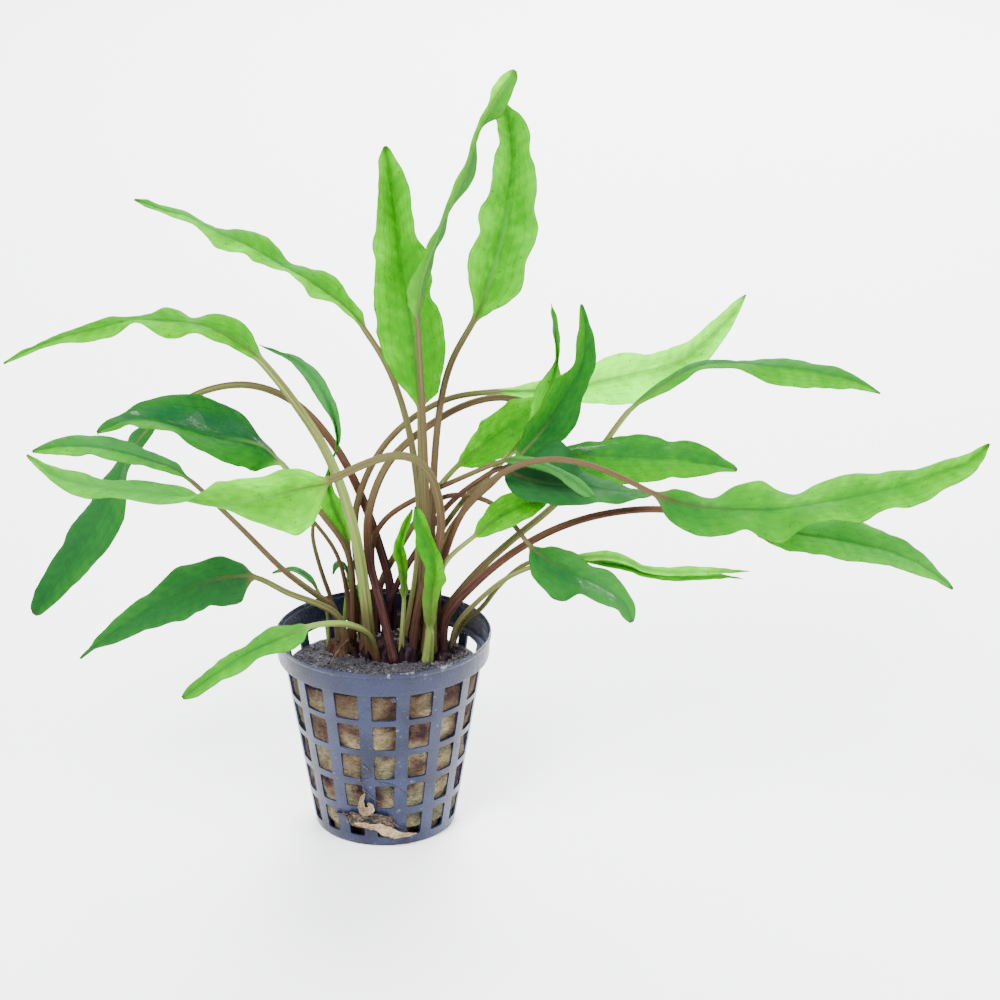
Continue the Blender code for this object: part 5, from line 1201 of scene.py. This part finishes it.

# %% [markdown]
# The plastic is a blue-black with a soft sheen. Handling has left it a little dull in blotches,
# and pale dust and dried splashes of the potting grit cling to it.

# %% The pot's finish
pot_finish, tree, shader = new_material("pot_black")
place = own_place(tree)
wear = place_group(tree, blotches, {"Vector": place}, Scale=90.0)
dust = place_group(tree, blotches, {"Vector": place}, Scale=330.0)
colour = blend(tree, wear.outputs["Mask"], (0.006, 0.008, 0.024), (0.016, 0.021, 0.055))
spots = add_node(tree, "ShaderNodeTexVoronoi", {"Vector": place}, Scale=520.0)
flecks = reckon(tree, "MULTIPLY", stretch(tree, spots.outputs["Distance"], 0.08, 0.2, 1.0, 0.0),
                stretch(tree, dust.outputs["Mask"], 0.55, 0.9, 0.0, 0.55))
colour = blend(tree, flecks, colour, (0.16, 0.155, 0.145))
height = add_node(tree, "ShaderNodeSeparateXYZ", {"Vector": place}).outputs["Z"]
colour = blend(tree, stretch(tree, height, 0.0445, 0.0465, 0.0, 0.5), colour, (0.005, 0.007, 0.022))
scuffs = reckon(tree, "MULTIPLY", stretch(tree, dust.outputs["Mask"], 0.8, 0.95),
                stretch(tree, height, 0.05, 0.0516))
colour = blend(tree, reckon(tree, "MULTIPLY", scuffs, 0.4), colour, (0.2, 0.22, 0.26))
tree.links.new(colour, shader.inputs["Base Color"])
tree.links.new(stretch(tree, wear.outputs["Fine"], 0.0, 1.0, 0.22, 0.4), shader.inputs["Roughness"])
shader.inputs["Specular IOR Level"].default_value = 0.25
bump = roughened(tree, dust.outputs["Fine"], 0.25, 0.00015)
tree.links.new(bump, shader.inputs["Normal"])
pot.data.materials.append(pot_finish)
print("pot finish:", len(tree.nodes), "nodes")

# %% [markdown]
# ## The mineral wool
# The plug is a matted cylinder that presses against the pot's wall. It swells a little into each
# opening and is torn back in places. It starts as a cone with many rings, whose points are moved
# in and out by smooth noise, and loose fibres lie on it.

# %% The plug
def wool_radius(angle, height):
    """The plug's radius: it fills the pot, bulges into the openings and sinks in places."""
    pitch = 2.0 * math.pi / COLUMNS
    turn = (angle + 0.5 * math.pi - POT_TURN) / pitch
    column_middle = math.cos(2.0 * math.pi * turn)
    row = (height - LOWEST_WINDOW) / WINDOW_PITCH - 0.5 * WINDOW_HEIGHT / WINDOW_PITCH
    row_middle = math.cos(2.0 * math.pi * row)
    bulge = 0.3 * max(0.0, column_middle) * max(0.0, row_middle)
    spot_on = around(20.0, angle, height)
    rough = swell(spot_on, 2.2, 0.45) + swell(spot_on, 0.9, 0.2, 3.0)
    sunk = max(0.0, swell(spot_on, 8.0, 2.2, 5.0) - 0.35)
    foot = 3.2 * smooth_step((5.6 - height) / 2.6) * (0.7 + swell(spot_on, 5.0, 0.8, 8.0))
    return pot_radius(height) - 0.4 + bulge + rough * 0.45 - sunk - foot


PLUG_FOOT = 1.6
PLUG_TOP = 42.2
HIGHEST_WOOL = 44.6
TOP_SLOPE = 0.09
bm = upright_tube(180, 68)
for vert in bm.verts:
    height = PLUG_FOOT + 0.5 * (vert.co.z + 1.0) * (PLUG_TOP - PLUG_FOOT)
    angle = math.atan2(vert.co.y, vert.co.x)
    radius = wool_radius(angle, height)
    tilt = -TOP_SLOPE * radius * math.sin(angle) + swell(around(20.0, angle, 0.0), 2.6, 0.5)
    tilt *= smooth_step((height - 30.0) / 12.0)
    vert.co = around(radius, angle, min(height + tilt, HIGHEST_WOOL))
bmesh.ops.recalc_face_normals(bm, faces=bm.faces)
wool = piece_from(bm, "rockwool_mat", replaced="rockwool_plug")
print("plug faces:", len(wool.data.polygons))


# %% Loose fibres on the plug
def thread(bm, points, radius, sides=3):
    """A thin closed tube along a few points."""
    start = (points[1] - points[0]).normalized()
    turn = start.to_track_quat("Z", "Y").to_matrix().to_4x4()
    ring = bmesh.ops.create_circle(bm, segments=sides, radius=radius, cap_ends=True,
                                   matrix=Matrix.Translation(points[0]) @ turn)["verts"]
    face = ring[0].link_faces[0]
    for before, after in zip(points, points[1:]):
        made = bmesh.ops.extrude_face_region(bm, geom=[face])["geom"]
        if before is not points[0]:
            bmesh.ops.delete(bm, geom=[face], context="FACES_ONLY")
        face = of_kind(made, bmesh.types.BMFace)[0]
        bmesh.ops.translate(bm, vec=after - before, verts=face.verts[:])


FIBRE_COUNT = 520
random.seed(41)
bm = bmesh.new()
for _ in range(FIBRE_COUNT):
    angle, height = random.uniform(0.0, 2.0 * math.pi), random.uniform(3.0, 41.0)
    drift_round, drift_up = random.uniform(-0.16, 0.16), random.uniform(-1.6, 1.6)
    points = []
    for step in range(5):
        a = angle + drift_round * step / 4.0 + random.uniform(-0.02, 0.02)
        h = height + drift_up * step / 4.0 + random.uniform(-0.3, 0.3)
        r = wool_radius(a, h) + 0.03 + random.uniform(0.0, 0.25)
        points.append(around(r, a, h))
    thread(bm, points, random.uniform(0.04, 0.08))
bmesh.ops.recalc_face_normals(bm, faces=bm.faces)
fibres = piece_from(bm, "rockwool_fibres")
print("fibre faces:", len(fibres.data.polygons))

# %% The wool's finish
wool_finish, tree, shader = new_material("rockwool")
place = own_place(tree)
clumps = add_node(tree, "ShaderNodeTexNoise", {"Vector": place}, Scale=135.0, Detail=3.0, Distortion=0.4)
matted = drawn_out(tree, place, (1.0, 1.0, 2.6))
strands = add_node(tree, "ShaderNodeTexNoise", {"Vector": matted}, Scale=800.0, Detail=4.0,
                   Distortion=1.2)
colour = ramp(tree, clumps.outputs["Fac"], [(0.34, (0.018, 0.008, 0.011)), (0.42, (0.065, 0.036, 0.024)),
                                            (0.49, (0.1, 0.075, 0.042)), (0.56, (0.13, 0.108, 0.065)),
                                            (0.62, (0.19, 0.145, 0.07)), (0.7, (0.22, 0.185, 0.135))])
mossy = add_node(tree, "ShaderNodeTexNoise", {"Vector": place}, Scale=75.0, Detail=2.0)
moss_share = stretch(tree, mossy.outputs["Fac"], 0.5, 0.62, 0.0, 0.55)
colour = blend(tree, moss_share, colour, (0.075, 0.085, 0.05))
weave = ramp(tree, strands.outputs["Fac"], [(0.3, (0.3, 0.27, 0.24)), (0.5, (0.75, 0.75, 0.75)),
                                            (0.7, (1.0, 1.0, 1.0))])
colour = blend(tree, 1.0, colour, weave, "MULTIPLY")
height = add_node(tree, "ShaderNodeSeparateXYZ", {"Vector": place}).outputs["Z"]
stained = reckon(tree, "MULTIPLY", stretch(tree, height, 0.026, 0.042, 0.0, 0.75),
                 stretch(tree, mossy.outputs["Fac"], 0.36, 0.52, 1.0, 0.3))
colour = blend(tree, stained, colour, (0.035, 0.018, 0.012))
tree.links.new(colour, shader.inputs["Base Color"])
shader.inputs["Specular IOR Level"].default_value = 0.1
shader.inputs["Roughness"].default_value = 0.95
bump = roughened(tree, strands.outputs["Fac"], 0.8, 0.0006)
tree.links.new(bump, shader.inputs["Normal"])
for piece in (wool, fibres):
    piece.data.materials.append(wool_finish)
print("wool finish ready")

# %% [markdown]
# ## The soil
# A thin uneven layer of dark grit lies on the wool, lower at the back than at the front. The
# layer itself is a disc whose rim follows the wool, and over two thousand single grains and crumbs
# are strewn over it. They share one small rough shape, copied in with its own size and turn.

# %% The layer of grit
SOIL_RADIUS = 23.9
SOIL_TOP = 43.2
SOIL_FOOT = 40.6


def soil_height(x, y):
    reach = math.hypot(x, y)
    spot_on = Vector((x, y, 0.0))
    lumps = swell(spot_on, 5.0, 1.1, 2.0) + swell(spot_on, 1.6, 0.55, 4.0) + swell(spot_on, 0.7, 0.3, 6.0)
    return SOIL_TOP - TOP_SLOPE * y + lumps * (1.0 - 0.65 * smooth_step((reach - 18.0) / 4.0))


bm = bmesh.new()
bmesh.ops.create_circle(bm, segments=120, radius=SOIL_RADIUS, cap_ends=True)
for vert in bm.verts:
    vert.co.z = soil_height(vert.co.x, vert.co.y)
made = bmesh.ops.extrude_face_region(bm, geom=bm.faces[:])["geom"]
for vert in of_kind(made, bmesh.types.BMVert):
    vert.co.z = SOIL_FOOT - TOP_SLOPE * vert.co.y
bmesh.ops.recalc_face_normals(bm, faces=bm.faces)
soil = piece_from(bm, "soil_layer", replaced="soil")
print("soil faces:", len(soil.data.polygons))

# %% Grains and crumbs
grain_bm = bmesh.new()
bmesh.ops.create_icosphere(grain_bm, subdivisions=1, radius=0.5)
for vert in grain_bm.verts:
    vert.co *= 1.0 + swell(vert.co, 0.4, 0.55, 9.0)
grain = bpy.data.meshes.new("grain")
grain_bm.to_mesh(grain)
grain_bm.free()


GRAIN_FLATNESS = 0.75
STREWN_RADIUS = 22.6


def on_soil():
    reach, angle = STREWN_RADIUS * math.sqrt(random.random()), random.uniform(0.0, 2.0 * math.pi)
    x, y = reach * math.cos(angle), reach * math.sin(angle)
    return Vector((x, y, soil_height(x, y) + 0.1))


def strew(bm, count, sizes):
    """Add copies of the grain at random places with random turns and sizes."""
    for _ in range(count):
        size = random.uniform(*sizes)
        copy = grain.copy()
        angle = random.uniform(0.0, 6.28)
        turn = Matrix.Rotation(angle, 4, Vector((random.random(), random.random(), 0.3)))
        squeeze = (size, size * random.uniform(0.6, 1.0), size * GRAIN_FLATNESS, 1.0)
        copy.transform(Matrix.Translation(on_soil()) @ turn @ Matrix.Diagonal(squeeze))
        bm.from_mesh(copy)
        bpy.data.meshes.remove(copy)


random.seed(17)
bm = bmesh.new()
strew(bm, 2200, (0.3, 0.8))
strew(bm, 260, (0.9, 1.9))
grit = piece_from(bm, "soil_grit", smooth=False)
print("grit faces:", len(grit.data.polygons))

# %% The soil's finish
soil_finish, tree, shader = new_material("soil")
place = own_place(tree)
lumps = place_group(tree, blotches, {"Vector": place}, Scale=260.0)
grains = add_node(tree, "ShaderNodeTexVoronoi", {"Vector": place}, Scale=1500.0)
colour = ramp(tree, grains.outputs["Color"], [(0.0, (0.015, 0.014, 0.02)), (0.5, (0.046, 0.044, 0.055)),
                                              (0.85, (0.085, 0.08, 0.088)), (1.0, (0.28, 0.25, 0.21))])
colour = blend(tree, reckon(tree, "MULTIPLY", lumps.outputs["Mask"], 0.6), colour, (0.026, 0.02, 0.024))
tree.links.new(colour, shader.inputs["Base Color"])
tree.links.new(stretch(tree, lumps.outputs["Fine"], 0.0, 1.0, 0.55, 0.95), shader.inputs["Roughness"])
shader.inputs["Specular IOR Level"].default_value = 0.15
bump = roughened(tree, grains.outputs["Distance"], 0.9, 0.0004)
tree.links.new(bump, shader.inputs["Normal"])
for piece in (soil, grit):
    piece.data.materials.append(soil_finish)
print("soil finish ready")

# %% [markdown]
# ## The crowns
# The stalks rise from three knots of old leaf bases. Each is a low mound with furrows that run
# down it, dark purple-brown and rusty at the left, with torn sheaths of dead stalks round it.

# %% Mounds of old leaf bases
# Each crown has its middle, its half sizes and how far it rises above the soil.
CROWN_MIDDLE_HEIGHT = 42.6
CROWN_ROOT = 3.0
CROWNS = {
    "crown_main": ((2.6, 6.8), (8.0, 7.6), 8.5),
    "crown_left": ((-10.4, 9.8), (4.6, 6.6), 5.5),
    "crown_right": ((14.4, 6.8), (3.4, 6.6), 4.5),
}
crown_pieces = []
for number, (name, (middle, half_sizes, rise)) in enumerate(CROWNS.items()):
    bm = bmesh.new()
    bmesh.ops.create_icosphere(bm, subdivisions=5, radius=1.0)
    for vert in bm.verts:
        way = vert.co.copy()
        x, y = way.x * half_sizes[0], way.y * half_sizes[1]
        furrow = swell(Vector((x, y, 0.3 * way.z)), 1.5, 0.22, 3.0 + number)
        lump = swell(Vector((x, y, way.z)), 4.0, 0.22, 7.0 + number)
        size = (1.0 + furrow + lump) * (1.0 - 0.3 * max(way.z, 0.0) ** 2)
        height = CROWN_MIDDLE_HEIGHT + (rise if way.z > 0.0 else CROWN_ROOT) * way.z * size
        vert.co = Vector((middle[0] + x * size, middle[1] + y * size,
                          height - TOP_SLOPE * (middle[1] + y)))
    crown_pieces.append(piece_from(bm, name + "_mound", replaced=name))
print("crowns:", [piece.name for piece in crown_pieces])

# %% Torn sheaths round the stalks
# Each sheath has its place, its height and width, and how far it leans to the right.
SHEATHS = [(-6.6, 3.0, 5.0, 2.2, -0.35), (-3.6, 0.4, 3.6, 2.4, -0.1), (2.4, 6.6, 8.0, 1.8, 0.05),
           (4.4, -0.6, 5.6, 4.2, 0.05), (7.4, -0.4, 4.6, 3.4, 0.12), (9.6, 0.6, 4.4, 2.2, 0.25),
           (-12.4, 6.0, 4.2, 2.4, -0.3), (-8.6, 6.2, 5.2, 2.0, 0.1), (12.8, 3.4, 4.0, 2.2, 0.1),
           (16.4, 5.0, 3.6, 2.0, 0.35), (0.9, -0.4, 5.2, 4.0, 0.06), (-1.2, 5.4, 6.0, 2.0, -0.1)]
sheath_bm = bmesh.new()
random.seed(5)
for x, y, tall, wide, lean in SHEATHS:
    made = bmesh.ops.create_grid(sheath_bm, x_segments=8, y_segments=10, size=0.5)["verts"]
    foot = soil_height(x, y) - 0.8
    for vert in made:
        u, v = vert.co.x * 2.0, vert.co.y + 0.5
        width = wide * (1.0 - 0.75 * v ** 1.6)
        ragged = v * tall * (1.0 - 0.25 * abs(u)) + swell(Vector((u * 3.0, v * 2.0, x)), 1.0, 0.8 * v)
        vert.co = Vector((x + 0.5 * u * width + lean * v * tall, y + 0.5 * u * u * wide - 0.4,
                          foot + ragged))
bmesh.ops.solidify(sheath_bm, geom=sheath_bm.faces[:], thickness=0.25)
bmesh.ops.recalc_face_normals(sheath_bm, faces=sheath_bm.faces)
sheaths = piece_from(sheath_bm, "torn_sheaths")
crown_pieces.append(sheaths)
print("sheaths:", len(SHEATHS))

# %% The crowns' finish
crown_finish, tree, shader = new_material("crown")
place = own_place(tree)
stripes_at = drawn_out(tree, place, (1.0, 1.0, 0.2))
stripes = place_group(tree, blotches, {"Vector": stripes_at}, Scale=420.0)
old = place_group(tree, blotches, {"Vector": place}, Scale=120.0)
colour = blend(tree, stripes.outputs["Mask"], (0.003, 0.001, 0.004), (0.011, 0.003, 0.007))
colour = blend(tree, reckon(tree, "MULTIPLY", old.outputs["Mask"], 0.2), colour, (0.03, 0.014, 0.009))
across_pot = add_node(tree, "ShaderNodeSeparateXYZ", {"Vector": place}).outputs["X"]
rusty = stretch(tree, across_pot, -0.009, -0.007, 0.6, 0.0)
colour = blend(tree, rusty, colour, (0.06, 0.026, 0.01))
tree.links.new(colour, shader.inputs["Base Color"])
tree.links.new(stretch(tree, stripes.outputs["Fine"], 0.0, 1.0, 0.4, 0.75), shader.inputs["Roughness"])
shader.inputs["Specular IOR Level"].default_value = 0.12
bump = roughened(tree, stripes.outputs["Mask"], 0.6, 0.0004)
tree.links.new(bump, shader.inputs["Normal"])
for piece in crown_pieces:
    piece.data.materials.append(crown_finish)
print("crown finish ready")

# %% [markdown]
# ## The dead leaf, a root and stray threads
# A withered leaf clings to the pot's foot, limp and wet, in three folds that follow the wall: a
# dark one, a pale one that curls up and a pale one along its foot. A few dark root hairs have grown
# out through the openings round it.

# %% The dead leaf
def on_wall(across, up, gap):
    """The place on the front of the pot's wall that is seen at a point, a gap outside it."""
    behind = -20.0
    for _ in range(8):
        place = in_space(across, up, behind)
        reach = pot_radius(max(place.z, 0.0)) + gap
        behind = -math.sqrt(reach ** 2 - place.x ** 2)
    return place


# A fold's points are (across, up, half its width). Then come how pale the fold is, how far it stands
# off the wall and how deep its creases are.
DEAD_LEAF_FOLDS = (
    # The first, dark fold: its dark brown is partly the withered leaf's colour, partly painted shade of
    # the crumpled fold.
    ([(-9.6, 6.9, 0.4), (-7.8, 6.2, 1.4), (-5.0, 5.6, 1.3), (-1.8, 5.8, 1.4), (1.0, 5.0, 1.0),
      (3.4, 3.9, 0.3)], 0.0, 0.3, 1.5),
    ([(-5.0, 11.8, 0.2), (-5.5, 10.3, 0.75), (-5.4, 8.7, 1.05), (-4.8, 7.6, 1.15), (-3.7, 7.7, 1.0),
      (-3.2, 8.6, 0.7), (-3.9, 9.7, 0.5)], 0.75, 0.9, 0.4),
    ([(-7.4, 4.8, 0.2), (-4.8, 4.3, 0.5), (-1.6, 3.6, 0.9), (1.6, 2.4, 1.3), (4.2, 1.8, 0.7),
      (8.4, 2.3, 0.12)], 1.0, 1.2, 0.5))
CURLING_FOLD = 1
LOWEST_LEAF = 0.35
bm = bmesh.new()
pale = bm.verts.layers.float.new("pale")
for fold_number, (points, paleness, clear, depth) in enumerate(DEAD_LEAF_FOLDS):
    route = smooth_route([Vector(point) for point in points])
    sheet = bmesh.ops.create_grid(bm, x_segments=70, y_segments=14, size=0.5)
    for vert in sheet["verts"]:
        u, v = vert.co.x + 0.5, 2.0 * vert.co.y
        first = min(int(u * (len(route) - 1)), len(route) - 2)
        middle = route[first].lerp(route[first + 1], u * (len(route) - 1) - first)
        way = (route[first + 1] - route[first]).xy.normalized()
        side = 2.0 if v > 0.0 else 5.0
        ragged = swell(Vector((u * 7.0, 5.0 * fold_number, 0.0)), 1.0, 0.55, side)
        ragged += swell(Vector((u * 30.0, 0.0, 0.0)), 1.0, 0.16, side)
        if fold_number == CURLING_FOLD and v > 0.0:
            ragged -= 0.35
        half = middle.z * (1.0 + ragged) * min(1.0, 12.0 * u, 12.0 * (1.0 - u)) ** 0.6
        creases = abs(swell(Vector((u * 14.0, v * 2.0, 3.0 * fold_number)), 1.0, depth, 1.0))
        streak = smooth_step(4.0 * swell(Vector((u * 16.0, v * 1.5, 9.0)), 1.0, 1.0, 7.0) - 0.6)
        vert[pale] = paleness * (1.0 - 0.55 * streak) + 0.35 * (1.0 - paleness) * streak
        gap = clear + creases + 0.3 * v * v
        vert.co = on_wall(middle.x - way.y * v * half, middle.y + way.x * v * half, gap)
        vert.co.z = max(vert.co.z, LOWEST_LEAF)
bmesh.ops.solidify(bm, geom=bm.faces[:], thickness=0.2)
bmesh.ops.recalc_face_normals(bm, faces=bm.faces)
dead_leaf = piece_from(bm, "dead_leaf_crumpled", replaced="dead_leaf")
print("dead leaf faces:", len(dead_leaf.data.polygons))

# %% Threads on the pot and a root in the soil
THREAD_STARTS = ((-0.22, 24.5), (-0.17, 23.0), (-0.3, 21.0), (-0.05, 19.5), (-0.24, 17.0),
                 (0.1, 9.0), (0.2, 6.0), (0.28, 5.0))
random.seed(23)
bm = bmesh.new()
for angle, height in THREAD_STARTS:
    points = []
    for step in range(9):
        radius = pot_radius(height) + 0.12 + random.uniform(0.0, 0.35)
        points.append(Vector((radius * math.sin(angle), -radius * math.cos(angle), height)))
        angle += random.uniform(-0.07, 0.08)
        height = max(height - random.uniform(-0.2, 1.6), 1.0)
    thread(bm, smooth_route(points, steps=3, rounds=1), random.uniform(0.07, 0.12), sides=4)
root_points = [Vector((-9.2, 4.0, 47.6)), Vector((-11.0, 1.0, 46.6)), Vector((-12.6, -2.4, 45.4)),
               Vector((-13.4, -4.0, 44.2)), Vector((-14.8, -5.0, 43.4))]
thread(bm, smooth_route(root_points, steps=5, rounds=2), 0.22, sides=6)
bmesh.ops.recalc_face_normals(bm, faces=bm.faces)
threads = piece_from(bm, "root_threads")
print("threads:", len(threads.data.polygons))

# %% The withered finish
withered, tree, shader = new_material("withered_leaf")
place = own_place(tree)
patches = place_group(tree, blotches, {"Vector": place}, Scale=380.0)
colour = ramp(tree, patches.outputs["Mask"], [(0.0, (0.012, 0.007, 0.005)), (0.5, (0.028, 0.015, 0.011)),
                                              (1.0, (0.09, 0.055, 0.035))])
tan = ramp(tree, patches.outputs["Mask"], [(0.0, (0.13, 0.075, 0.04)), (1.0, (0.36, 0.27, 0.14))])
colour = blend(tree, read_layer(tree, "pale"), colour, tan)
tree.links.new(colour, shader.inputs["Base Color"])
tree.links.new(stretch(tree, patches.outputs["Fine"], 0.0, 1.0, 0.45, 0.8), shader.inputs["Roughness"])
bump = roughened(tree, patches.outputs["Fine"], 0.7, 0.0003)
tree.links.new(bump, shader.inputs["Normal"])
for piece in (dead_leaf, threads):
    piece.data.materials.append(withered)
print("withered finish ready")

# %% [markdown]
# ## The floor's finish
# The floor is a plain, nearly white sheet.

# %% The floor's finish
floor_finish, tree, shader = new_material("floor_white")
place = own_place(tree)
paper = place_group(tree, blotches, {"Vector": place}, Scale=3.0)
white = blend(tree, paper.outputs["Mask"], (0.93, 0.94, 0.95), (0.95, 0.955, 0.96))
tree.links.new(white, shader.inputs["Base Color"])
shader.inputs["Roughness"].default_value = 0.6
floor.data.materials.append(floor_finish)
